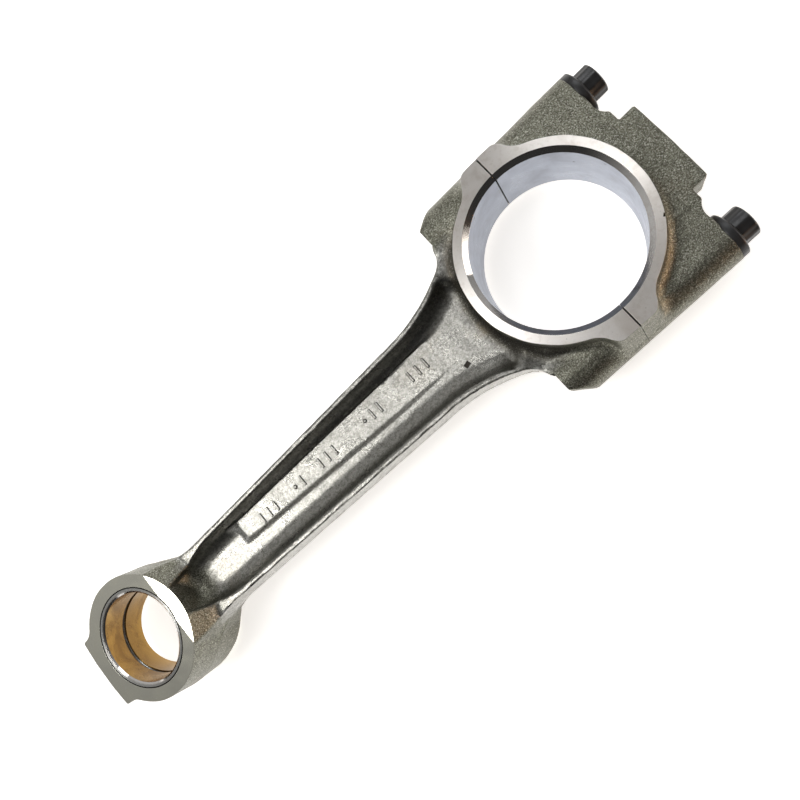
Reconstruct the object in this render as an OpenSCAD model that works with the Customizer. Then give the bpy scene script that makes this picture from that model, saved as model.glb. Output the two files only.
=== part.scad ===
// Heavy diesel connecting rod: I-beam forging with a parted big end, a bolted bearing cap and
// a wedge-shaped small end that carries two steel-backed bronze bushes.
// The origin is the centre of the big-end bore at half its width.
// +X runs along the rod to the small end, and Z is the axis of both bores.

/* [Rod] */
// Distance between the centres of the two bores
centre_distance = 304.8; // [290:0.2:330]

/* [Big end] */
// Diameter of the housing bore for the bearing shells
big_bore_d = 84.2; // [80:0.1:86]
// Width of the big end along the bore
big_width = 55; // [50:0.5:60]
// Outside diameter of the raised, machined ring
big_ring_d = 98.8; // [96:0.2:104]
// Width of the chamfer at each end of the bore
big_chamfer = 2.7; // [1:0.1:4]
// Half length of the pads that the ring carries at the parting plane
ear_half_length = 13; // [11:0.5:16]
// Reach of those pads from the rod's centre line
ear_reach = 56; // [54:0.5:60]

/* [Cap] */
// Distance from the parting plane to the screw seats
cap_seat_x = 57; // [52:0.5:62]
// Distance from the parting plane to the outer face of the balance pad
crown_x = 70.8; // [66:0.2:76]
// Half length of the balance pad
crown_half_y = 24.4; // [20:0.2:28]
// Radius of the milled scallops between the pad and the screw seats
scallop_r = 9; // [6:0.5:10]

/* [Cap screws] */
// Distance between the two screw axes
screw_spacing = 101.6; // [101:0.2:106]
// Diameter of the screw's thread and guide collars
screw_d = 14.3; // [12:0.1:14.6]
// Diameter of the screw's waisted stretch
screw_waist_d = 12.6; // [10:0.1:14]
// Diameter of the holes for the screws in the cap and the rod
screw_hole_d = 14.9; // [14.9:0.1:15.2]
// Diameter of the round bosses that the screws run through
screw_boss_d = 25.2; // [24:0.2:28]
// Length of the screw under its head
screw_length = 95; // [85:1:98]
// Diameter of the screw's flange
flange_d = 24.8; // [22:0.2:26]
// Thickness of the screw's flange
flange_t = 5.2; // [3:0.2:7]
// Width across the flats of the twelve-point head
head_across_flats = 15.9; // [13:0.1:17]
// Height of the twelve-point head above its flange
head_height = 9.3; // [6:0.1:12]

/* [Dowels] */
// Diameter of the two locating dowels
dowel_d = 6.4; // [5:0.1:7]
// Length of each dowel
dowel_length = 18; // [12:1:19]
// Distance of each dowel from the middle of the big end's width
dowel_z = 19; // [17:0.5:20]
// Radial clearance of each dowel in the rod
dowel_clearance = 0.08; // [0.05:0.01:0.1]

/* [Shank] */
// Depth of the I-beam along the bores' direction
beam_depth = 26; // [22:0.5:30]
// Thickness of the web between the two channels
web_t = 10; // [7:0.5:12]
// Width of the flat on top of each rib
rib_t = 2.6; // [2:0.1:4]
// Half width of the beam where it leaves the big end
beam_half_big = 23.3; // [21:0.1:25]
// Half width of the beam where it meets the small end
beam_half_small = 19.5; // [18:0.1:21]
// Radius of the flare from the beam to the shoulders
shoulder_flare_r = 100; // [90:1:110]
// Radius of the flare from the beam to the small end
eye_flare_r = 60; // [50:1:70]
// Distance from the parting plane to the end faces of the rod's bosses
lug_x = 43.8; // [42:0.2:46]
// Depth of the recessed strip in the channel floors
strip_depth = 1.2; // [0.6:0.1:1.6]

/* [Small end] */
// Outside diameter of the small end
eye_d = 71.6; // [70:0.2:76]
// Width of the small end along its bore, on the flat land
eye_width = 57; // [54:0.5:60]
// Angle of the wedge that each side face makes with the land
wedge_angle = 10.9; // [8:0.1:12]
// Distance from the pin's centre to the crease where each wedge face starts
crease_back = 27.6; // [24:0.2:30]
// Half width of the balance lug at the tip
tip_half_y = 21.2; // [18:0.2:24]
// Reach of the balance lug from the pin's centre
tip_reach = 37.4; // [36.5:0.1:42]

/* [Bushes] */
// Bore of the bronze linings, for the piston pin
pin_bore_d = 50.8; // [48:0.1:52]
// Outside diameter of the bushes
bush_od = 56.4; // [55.4:0.1:58]
// Thickness of each bronze lining
lining_t = 1; // [0.6:0.1:1.4]
// Gap between the two bushes, which is the ring oilway
bush_gap = 3; // [2:0.1:5]
// Diameter of the drilling that carries oil from the big end to the gap
oilway_d = 5; // [3:0.5:6]

/* [Hidden] */
$fn = 96;

// Overlap that joins touching solids, reach of a tool past what it cuts, and a reach beyond all metal
eps = 0.01;
over = 1;
far = 400;
// Facets of the large rounds
fine = 240;

// The big end, its ring with two pads, and the two round screw bosses
big_r = big_bore_d / 2;
ring_r = big_ring_d / 2;
big_half = big_width / 2;
boss_r = screw_boss_d / 2;
screw_y = screw_spacing / 2;
// The pads' edges lie this much inside the bosses' skin
pad_inset = 0.1;
side_y = screw_y + boss_r - pad_inset;
pad_root_y = big_r - 6;
ear_corner = 5;

// The small end and its bushes
eye_r = eye_d / 2;
eye_half = eye_width / 2;
pin_r = pin_bore_d / 2;
bush_r = bush_od / 2;
back_r = pin_r + lining_t;
crease_x = centre_distance - crease_back;
tip_corner = 3.5;

// The rod's bosses: the fillet beside them, and the corner cut from their end faces
lug_fillet = 8;
corner_cut = 8.5;
corner_drop = 6.4;
lug_corner_x = lug_x - corner_cut;

// The beam and its web
beam_half = beam_depth / 2;
web_half = web_t / 2;
// The flare from the beam to the shoulder touches the beam at this distance from the origin
flare_start_x = 97;
// The flare from the beam to the small end is tangent to the eye
flare_rise = eye_flare_r + beam_half_small;
flare_x = centre_distance - sqrt(pow(eye_r + eye_flare_r, 2) - pow(flare_rise, 2));
flare_share = eye_r / (eye_r + eye_flare_r);
touch_x = centre_distance - (centre_distance - flare_x) * flare_share;
touch_y = flare_rise * flare_share;
// Where the flare at the shoulder ends, beside the boss's end face
flare_end_x = lug_x + lug_fillet;
flare_end_y = beam_half_big + shoulder_flare_r
            - sqrt(pow(shoulder_flare_r, 2) - pow(flare_start_x - flare_end_x, 2));
// Width that is certain to lie outside the beam
beam_clear = 40;
// The ramps from the ribs to the eye's land
ramp_foot_x = flare_x + 14;
ramp_top_x = centre_distance - 25.8;

// The channels: their floors are narrower than their mouths, up to this height above the web
floor_inset = 2.1;
floor_step = 3.6;
// and stop short of the ring and of the eye
floor_ring_gap = 2.5;
floor_eye_gap = 6;
mouth_eye_gap = 2;
// The channels' narrowing ends beside the eye, from the start of the flare
mouth_bend = 7;
mouth_length = 20;
mouth_half = beam_half_small - rib_t - 2.2;
mouth_bend_half = mouth_half - 1.5;
mouth_end_half = 9;
// The marking strips: where they start and end, and their two edges there
strip_start_x = 72;
strip_end_x = 228;
strip_start_edges = [-13, 7.5];
strip_end_edges = [-11.5, -0.8];

// The cap's web reaches past the screw seats beside the balance pad
neck_reach = 1.5;
neck_half_y = crown_half_y + 9;
scallop_x = cap_seat_x + 6.45;
scallop_y = crown_half_y + 6.75;
// Width of the cut across the balance pad's corners
crown_corner = 3;
// Radius of the spot faces under the screws' flanges
seat_r = flange_d / 2 + 0.8;

// The screw's head: two hexagons, turned down to round_r, with a chamfer on top
corner_r = head_across_flats / 2 / cos(30);
head_rounding = 0.95;
round_r = corner_r * head_rounding;
head_chamfer = 0.8;
// The flange is flat up to flange_rim and slopes from there to the head
flange_slope = 1.2;
flange_rim = flange_t - flange_slope;
flange_top_r = round_r + 0.6;
// The screw's guide collars and its relief before the thread, measured from its seat
guide_end = 10;
collar_start = cap_seat_x - 8;
collar_end = cap_seat_x + 7;
relief_end = collar_end + 2;
screw_chamfer = 1.2;

// The dowels
dowel_chamfer = 0.6;
dowel_hole_depth = dowel_length / 2 + 0.3;

forging_color = [0.47, 0.47, 0.44];
machined_color = [0.72, 0.72, 0.74];
oxide_color = [0.09, 0.09, 0.09];
bronze_color = [0.72, 0.52, 0.28];

// Its children twice, the second time reflected across the rod's centre plane.
module both_sides() {
  children();
  mirror([0, 1, 0]) children();
}

// Its children twice, the second time reflected through the mid plane of the forging.
module both_faces() {
  children();
  mirror([0, 0, 1]) children();
}

// A round bar along X.
module x_bar(from_x, to_x, radius) {
  translate([from_x, 0, 0]) rotate([0, 90, 0]) cylinder(r = radius, h = to_x - from_x);
}

// A slab of the 2-D children, centred on the mid plane.
module slab(half_t) {
  translate([0, 0, -half_t]) linear_extrude(2 * half_t) children();
}

// Half of the beam's outline, on the +Y side, from the shoulder to the eye.
// inset narrows it evenly for the channel.
module beam_outline(inset = 0) {
  big_y = beam_half_big - inset;
  small_y = beam_half_small - inset;
  end_y = flare_end_y - inset;
  polygon([[flare_start_x - eps, 0], [flare_start_x - eps, big_y], [flare_x, small_y], [flare_x, 0]]);
  difference() {
    polygon([[flare_end_x, 0], [flare_end_x, end_y], [flare_end_x, end_y + beam_clear],
             [flare_start_x, end_y + beam_clear], [flare_start_x, 0]]);
    translate([flare_start_x, beam_half_big + shoulder_flare_r])
      circle(r = shoulder_flare_r + inset, $fn = fine);
  }
}

// The cheek that joins the beam to the eye on the +Y side.
module cheek_outline() {
  difference() {
    polygon([[flare_x - eps, 0], [flare_x - eps, beam_half_small], [flare_x, flare_rise],
             [touch_x, touch_y], [centre_distance, 0]]);
    translate([flare_x, flare_rise]) circle(r = eye_flare_r, $fn = fine);
  }
}

// The shoulder between the parting plane and the beam, with its filleted inner corner.
module shoulder_outline() {
  polygon([[0, 0], [0, screw_y], [lug_x, screw_y], [lug_x, flare_end_y + lug_fillet],
           [flare_end_x, flare_end_y], [flare_end_x + eps, 0]]);
  difference() {
    translate([lug_x, flare_end_y - eps]) square([lug_fillet, lug_fillet + eps]);
    translate([lug_x + lug_fillet, flare_end_y + lug_fillet]) circle(r = lug_fillet);
  }
}

// One screw boss of the rod, with the corner of its end face cut away.
module rod_boss() {
  intersection() {
    translate([0, screw_y, 0]) x_bar(0, lug_x, boss_r);
    slab(boss_r + over)
      polygon([[0, 0], [0, far], [lug_corner_x, far], [lug_corner_x, side_y],
               [lug_x, side_y - corner_drop], [lug_x, 0]]);
  }
}

// The raised ring of the big end with its pads, whole, before it is parted and bored.
module ring_blank() {
  slab(big_half) circle(r = ring_r, $fn = fine);
  both_sides() intersection() {
    rotate([90, 0, 90]) translate([0, 0, -ear_half_length]) linear_extrude(2 * ear_half_length)
      polygon([[pad_root_y, big_half], [ear_reach, big_half], [side_y, 0], [ear_reach, -big_half],
               [pad_root_y, -big_half]]);
    slab(big_half) union() {
      translate([-ear_half_length, 0]) square([2 * ear_half_length, ear_reach - ear_corner]);
      translate([-ear_half_length + ear_corner, 0]) square([2 * (ear_half_length - ear_corner), far]);
      for (side = [-1, 1])
        translate([side * (ear_half_length - ear_corner), ear_reach - ear_corner]) circle(r = ear_corner);
    }
  }
}

// The housing bore with a chamfer at each end.
module big_bore() {
  slab(big_half + over) circle(r = big_r, $fn = fine);
  both_faces() translate([0, 0, big_half - big_chamfer])
    cylinder(r1 = big_r, r2 = big_r + big_chamfer + eps, h = big_chamfer + eps, $fn = fine);
}

// Everything on the rod's side of the parting plane.
module rod_side() {
  translate([0, -far / 2, -far / 2]) cube(far);
}

// The plan of a channel, narrowed evenly by inset and kept clear of the ring and the eye.
module channel_plan(inset, ring_gap, eye_gap) {
  difference() {
    both_sides() {
      beam_outline(rib_t + inset);
      channel_mouth();
    }
    circle(r = ring_r + ring_gap, $fn = fine);
    translate([centre_distance, 0]) circle(r = eye_r + eye_gap);
  }
}

// The narrowing end of a channel beside the eye.
module channel_mouth() {
  polygon([[flare_x - eps, 0], [flare_x - eps, mouth_half], [flare_x + mouth_bend, mouth_bend_half],
           [flare_x + mouth_length, mouth_end_half], [flare_x + mouth_length, 0]]);
}

// The deep channel in one face of the beam. It ends on the ring and on the eye.
module channel() {
  translate([0, 0, web_half]) linear_extrude(beam_half)
    channel_plan(floor_inset, floor_ring_gap, floor_eye_gap);
  translate([0, 0, web_half + floor_step]) linear_extrude(beam_half)
    channel_plan(0, 0, mouth_eye_gap);
}

// The shallow recess in the channel floor that a maker stamps.
module marking_strip() {
  translate([0, 0, web_half - strip_depth]) linear_extrude(beam_half)
    polygon([[strip_start_x, strip_start_edges[0]], [strip_start_x, strip_start_edges[1]],
             [strip_end_x, strip_end_edges[1]], [strip_end_x, strip_end_edges[0]]]);
}

// The ramps that rise from the ribs to the eye's land, and the eye with its tip lug.
module eye_blank() {
  translate([centre_distance, 0, 0]) slab(eye_half) circle(r = eye_r, $fn = fine);
  slab(eye_half) {
    translate([centre_distance, -tip_half_y]) square([tip_reach - tip_corner, 2 * tip_half_y]);
    translate([centre_distance, -tip_half_y + tip_corner])
      square([tip_reach, 2 * (tip_half_y - tip_corner)]);
    for (side = [-1, 1])
      translate([centre_distance + tip_reach - tip_corner, side * (tip_half_y - tip_corner)])
        circle(r = tip_corner);
  }
  intersection() {
    slab(eye_half) both_sides() cheek_outline();
    rotate([90, 0, 0]) translate([0, 0, -eye_r]) linear_extrude(2 * eye_r)
      polygon([[flare_x - over, -beam_half], [flare_x - over, beam_half], [ramp_foot_x, beam_half],
               [ramp_top_x, eye_half], [centre_distance, eye_half], [centre_distance, -eye_half],
               [ramp_top_x, -eye_half], [ramp_foot_x, -beam_half]]);
  }
}

// The two wedge faces of the small end, as the metal that they take away.
module wedge_cut() {
  both_faces() translate([crease_x, 0, eye_half]) rotate([0, wedge_angle, 0])
    translate([0, -far / 2, 0]) cube(far);
}

// The rod's main forging, machined and drilled.
module rod_forging() {
  color(forging_color) difference() {
    union() {
      intersection() {
        ring_blank();
        rod_side();
      }
      both_sides() rod_boss();
      slab(boss_r) both_sides() shoulder_outline();
      slab(beam_half) both_sides() beam_outline();
      eye_blank();
    }
    both_faces() channel();
    marking_strip();
    rotate([180, 0, 0]) marking_strip();
    wedge_cut();
    big_bore();
    translate([centre_distance, 0, 0]) slab(eye_half + over) circle(r = bush_r, $fn = fine);
    both_sides() translate([0, screw_y, 0]) x_bar(-over, lug_x + over, screw_hole_d / 2);
    for (side = [-1, 1])
      translate([0, side * screw_y, side * dowel_z])
        x_bar(-over, dowel_hole_depth, dowel_d / 2 + dowel_clearance);
    x_bar(big_r - over, centre_distance - bush_r + over, oilway_d / 2);
  }
}

// The outline of the cap's web: bosses, scallops and balance pad.
module cap_outline() {
  difference() {
    union() {
      translate([-cap_seat_x, -screw_y]) square([cap_seat_x, screw_spacing]);
      translate([-crown_x, -crown_half_y]) square([crown_x, 2 * crown_half_y]);
      translate([-cap_seat_x - neck_reach, -neck_half_y]) square([cap_seat_x, 2 * neck_half_y]);
    }
    both_sides() {
      translate([-scallop_x, scallop_y]) circle(r = scallop_r);
      translate([-crown_x, crown_half_y]) rotate(45) square(crown_corner, center = true);
    }
  }
}

// The bearing cap, machined and drilled.
module bearing_cap() {
  color(forging_color) difference() {
    union() {
      intersection() {
        ring_blank();
        mirror([1, 0, 0]) rod_side();
      }
      slab(boss_r) cap_outline();
      both_sides() translate([0, screw_y, 0]) x_bar(-cap_seat_x, 0, boss_r);
    }
    big_bore();
    both_sides() translate([0, screw_y, 0]) x_bar(-cap_seat_x - over, over, screw_hole_d / 2);
    both_sides() translate([0, screw_y, 0]) x_bar(-far, -cap_seat_x, seat_r);
    for (side = [-1, 1])
      translate([0, side * screw_y, side * dowel_z]) x_bar(-dowel_hole_depth, over, dowel_d / 2);
  }
}

// The screw's twelve-point head, above its flange.
module screw_head() {
  intersection() {
    translate([-flange_t + eps, 0, 0]) rotate([0, -90, 0]) linear_extrude(head_height) {
      circle(r = corner_r, $fn = 6);
      rotate(30) circle(r = corner_r, $fn = 6);
    }
    union() {
      x_bar(-flange_t - head_height + head_chamfer, 0, round_r);
      translate([-flange_t - head_height + head_chamfer + eps, 0, 0]) rotate([0, -90, 0])
        cylinder(r1 = round_r, r2 = round_r - head_chamfer, h = head_chamfer);
    }
  }
}

// A cap screw at the origin: its seat at x = 0, its head towards -X, its thread towards +X.
module cap_screw() {
  color(oxide_color) {
    x_bar(-flange_rim, 0, flange_d / 2);
    translate([-flange_rim, 0, 0]) rotate([0, -90, 0])
      cylinder(r1 = flange_d / 2, r2 = flange_top_r, h = flange_slope);
    screw_head();
    x_bar(-eps, guide_end, screw_d / 2);
    x_bar(guide_end - eps, collar_start, screw_waist_d / 2);
    x_bar(collar_start - eps, collar_end, screw_d / 2);
    x_bar(collar_end - eps, relief_end, screw_waist_d / 2);
    x_bar(relief_end - eps, screw_length - screw_chamfer, screw_d / 2);
    translate([screw_length - screw_chamfer - eps, 0, 0]) rotate([0, 90, 0])
      cylinder(r1 = screw_d / 2, r2 = screw_d / 2 - screw_chamfer, h = screw_chamfer);
  }
}

// One cap screw in its place; side is -1 for the left one and +1 for the right one.
module placed_screw(side) {
  translate([-cap_seat_x, side * screw_y, 0]) cap_screw();
}

module cap_screw_left() {
  placed_screw(-1);
}

module cap_screw_right() {
  placed_screw(1);
}

// One locating dowel, pressed into the cap and free in the rod.
module placed_dowel(side) {
  color(machined_color) translate([0, side * screw_y, side * dowel_z]) {
    x_bar(-dowel_length / 2, dowel_length / 2 - dowel_chamfer, dowel_d / 2);
    translate([dowel_length / 2 - dowel_chamfer - eps, 0, 0]) rotate([0, 90, 0])
      cylinder(r1 = dowel_d / 2, r2 = dowel_d / 2 - dowel_chamfer, h = dowel_chamfer);
  }
}

module dowel_left() {
  placed_dowel(-1);
}

module dowel_right() {
  placed_dowel(1);
}

// One layer of a bush on the +Z side, with its outer end cut to the small end's faces.
module bush_layer(outer, inner) {
  difference() {
    translate([centre_distance, 0, bush_gap / 2]) difference() {
      cylinder(r = outer, h = eye_half - bush_gap / 2, $fn = fine);
      translate([0, 0, -over]) cylinder(r = inner, h = eye_half + 2 * over, $fn = fine);
    }
    wedge_cut();
  }
}

module front_bush_back() {
  color(machined_color) bush_layer(bush_r, back_r);
}

module front_bush_lining() {
  color(bronze_color) bush_layer(back_r, pin_r);
}

module rear_bush_back() {
  mirror([0, 0, 1]) front_bush_back();
}

module rear_bush_lining() {
  mirror([0, 0, 1]) front_bush_lining();
}

rod_forging();
bearing_cap();
cap_screw_left();
cap_screw_right();
dowel_left();
dowel_right();
front_bush_back();
front_bush_lining();
rear_bush_back();
rear_bush_lining();
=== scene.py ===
"""Visual model of a heavy diesel connecting rod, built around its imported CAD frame.

The forged skins are distance fields in millimetres, meshed as even quads. The machined faces are
then cut into them with closed cutters, as on the real part, so their edges stay crisp. Bushes,
screws and dowels are turned shapes. Every piece stands for its CAD node and rides on its body.
"""

import logging
import math
from collections.abc import Callable
from dataclasses import dataclass, field
from enum import Enum

import bmesh
import bpy
import numpy as np
from mathutils import Matrix, Vector

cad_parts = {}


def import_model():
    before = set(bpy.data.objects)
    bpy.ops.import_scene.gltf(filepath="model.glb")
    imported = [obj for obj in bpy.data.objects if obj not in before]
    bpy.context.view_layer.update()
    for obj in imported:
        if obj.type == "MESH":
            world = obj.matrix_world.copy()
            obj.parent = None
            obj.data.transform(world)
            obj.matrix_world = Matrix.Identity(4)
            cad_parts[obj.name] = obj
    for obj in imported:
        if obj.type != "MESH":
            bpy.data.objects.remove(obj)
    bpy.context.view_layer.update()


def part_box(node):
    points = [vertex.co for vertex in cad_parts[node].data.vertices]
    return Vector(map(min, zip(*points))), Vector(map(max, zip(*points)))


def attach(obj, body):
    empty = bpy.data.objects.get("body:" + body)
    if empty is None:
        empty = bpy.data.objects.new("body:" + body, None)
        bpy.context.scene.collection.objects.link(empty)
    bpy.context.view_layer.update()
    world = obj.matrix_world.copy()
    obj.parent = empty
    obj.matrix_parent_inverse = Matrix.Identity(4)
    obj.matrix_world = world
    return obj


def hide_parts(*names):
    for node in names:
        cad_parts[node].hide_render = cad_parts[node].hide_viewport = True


Array = np.ndarray
Field = Callable[[Array, Array, Array], Array]
Colour = tuple[float, float, float]
Point = tuple[float, float, float]
Profile = list[tuple[float, float]]
Thing = bpy.types.Object
Finish = bpy.types.Material
Socket = bpy.types.NodeSocket
Value = Socket | float

MM = 0.001
ON_AXIS = 1e-6
OVER = 9.0
LOG = logging.getLogger("connecting_rod")


class Side(Enum):
    """The two sides of the rod's centre plane, by their sign along Y."""

    LEFT = -1
    RIGHT = 1


class Face(Enum):
    """The two faces of the forging, by their sign along Z."""

    FRONT = 1
    REAR = -1


class Axis(Enum):
    """The direction in which a turned shape's axis points."""

    X = "x"
    Z = "z"


# ---------------- distance field arithmetic


def round_union(a: Array, b: Array, radius: float | Array) -> Array:
    """Joins two shapes with a fillet of the given radius, and returns the distance to the result."""
    corner = np.hypot(np.maximum(radius - a, 0), np.maximum(radius - b, 0))
    return np.maximum(radius, np.minimum(a, b)) - corner


def round_cross(a: Array, b: Array, radius: float | Array) -> Array:
    """Keeps what two shapes share, with an edge of the given radius, and returns the distance to it."""
    corner = np.hypot(np.maximum(radius + a, 0), np.maximum(radius + b, 0))
    return np.minimum(-radius, np.maximum(a, b)) + corner


def ease(value: Array, start: float, end: float) -> Array:
    """Rises smoothly from 0 where the value is at its start to 1 at its end."""
    share = np.clip((value - start) / (end - start), 0, 1)
    return share * share * (3 - 2 * share)


def soft_max(a: Array, b: Array, radius: float | Array) -> Array:
    """The larger of two heights, blended where they are closer than the given radius."""
    near = np.maximum(radius - np.abs(a - b), 0) / radius
    return np.maximum(a, b) + near * near * radius / 4


# ---------------- sizes


@dataclass(frozen=True)
class RodSizes:
    """The rod's driving sizes in millimetres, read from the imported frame.

    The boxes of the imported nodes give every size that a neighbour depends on. The fields with
    defaults belong to the forging's own shape.

    Attributes:
        centre_distance: Distance between the two bores.
        big_half: Half the big end's width.
        eye_half: Half the small end's width on its flat land.
        tip_x: Reach of the small end's tip lug.
        crown_x: Reach of the cap's balance pad, towards -X.
        side_y: Half width over the screw bosses.
        screw_y: Distance of the screws from the centre plane.
        flange_r: Radius of the screws' flanges.
        screw_tip_x: Place of the screws' tips.
        head_x: Place of the tops of the screws' heads.
        bush_r: Outer radius of the bushes.
        back_r: Outer radius of the bronze linings.
        bush_gap_half: Half the gap between the two bushes.
        dowel_z: Distance of the dowels from the mid plane.
        dowel_r: Radius of the dowels.
        dowel_half: Half the length of the dowels.
        seat_x: Distance from the joint face to the screw seats.
        big_r: Radius of the housing bore.
        ring_r: Radius of the big end's machined ring.
        big_chamfer: Width of the chamfer at each end of the housing bore.
        lining_t: Thickness of the bronze linings.
        lug_x: Distance from the joint face to the end faces of the rod's bosses.
        screw_hole_r: Radius of the screw holes.
        dowel_play: How much wider the dowels' holes are in the rod, on the radius.
        boss_r: Radius of the screw bosses.
        beam_half: Half the beam's depth.
        web_half: Half the thickness of the web.
        beam_half_big: Half width of the beam where it leaves the shoulders.
        beam_half_small: Half width of the beam where it meets the small end.
        flare_start_x: Place where the beam starts to widen towards the shoulders.
        shoulder_flare_r: Radius of that flare.
        eye_r: Radius of the small end.
        eye_flare_r: Radius of the flare from the beam to the small end.
        crease_back: Distance from the pin's centre back to the crease of the wedge faces.
        wedge_degrees: Angle of the wedge faces.
        oilway_r: Radius of the oil drilling along the beam.
        joint_gap: How far each half stands back from the joint plane.
        joint_break: Width of the broken edges along the joint.
    """

    centre_distance: float
    big_half: float
    eye_half: float
    tip_x: float
    crown_x: float
    side_y: float
    screw_y: float
    flange_r: float
    screw_tip_x: float
    head_x: float
    bush_r: float
    back_r: float
    bush_gap_half: float
    dowel_z: float
    dowel_r: float
    dowel_half: float
    seat_x: float = 57.0
    big_r: float = 42.1
    ring_r: float = 49.4
    big_chamfer: float = 2.7
    lining_t: float = 1.0
    lug_x: float = 43.8
    screw_hole_r: float = 7.45
    dowel_play: float = 0.08
    boss_r: float = 12.6
    beam_half: float = 13.0
    web_half: float = 5.0
    beam_half_big: float = 23.3
    beam_half_small: float = 19.5
    flare_start_x: float = 97.0
    shoulder_flare_r: float = 100.0
    eye_r: float = 35.8
    eye_flare_r: float = 60.0
    crease_back: float = 27.6
    wedge_degrees: float = 10.9
    oilway_r: float = 2.5
    joint_gap: float = 0.13
    joint_break: float = 0.4

    @classmethod
    def from_frame(cls) -> "RodSizes":
        """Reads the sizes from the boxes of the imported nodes.

        Returns:
            The sizes in millimetres.
        """

        def span(node: str) -> tuple[Vector, Vector]:
            """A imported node's box in millimetres."""
            low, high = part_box(node)
            return low / MM, high / MM

        rod_low, rod_high = span("rod_forging")
        cap_low, cap_high = span("bearing_cap")
        back_low, back_high = span("front_bush_back")
        lining_low, lining_high = span("front_bush_lining")
        screw_low, screw_high = span("cap_screw_right")
        dowel_low, dowel_high = span("dowel_right")
        screw_y = (screw_low.y + screw_high.y) / 2
        return cls(
            centre_distance=(back_low.x + back_high.x) / 2,
            big_half=cap_high.z,
            eye_half=rod_high.z,
            tip_x=rod_high.x,
            crown_x=-cap_low.x,
            side_y=cap_high.y,
            screw_y=screw_y,
            flange_r=screw_high.y - screw_y,
            screw_tip_x=screw_high.x,
            head_x=screw_low.x,
            bush_r=(back_high.y - back_low.y) / 2,
            back_r=(lining_high.y - lining_low.y) / 2,
            bush_gap_half=back_low.z,
            dowel_z=(dowel_low.z + dowel_high.z) / 2,
            dowel_r=(dowel_high.z - dowel_low.z) / 2,
            dowel_half=dowel_high.x,
        )

    @property
    def pin_r(self) -> float:
        """Radius of the bore for the piston pin."""
        return self.back_r - self.lining_t

    @property
    def crease_x(self) -> float:
        """Place along X where the wedge faces start."""
        return self.centre_distance - self.crease_back

    @property
    def eye_flare_x(self) -> float:
        """Place along X where the beam starts to widen towards the eye.

        Returns:
            The place in millimetres.
        """
        rise = self.eye_flare_r + self.beam_half_small
        reach = math.sqrt((self.eye_r + self.eye_flare_r) ** 2 - rise**2)
        return self.centre_distance - reach

    def wedge_height(self, x: Array) -> Array:
        """Height of the small end's faces above the mid plane at some places along the rod."""
        drop = np.maximum(x - self.crease_x, 0) * math.tan(math.radians(self.wedge_degrees))
        return self.eye_half - drop


# ---------------- meshing


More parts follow.
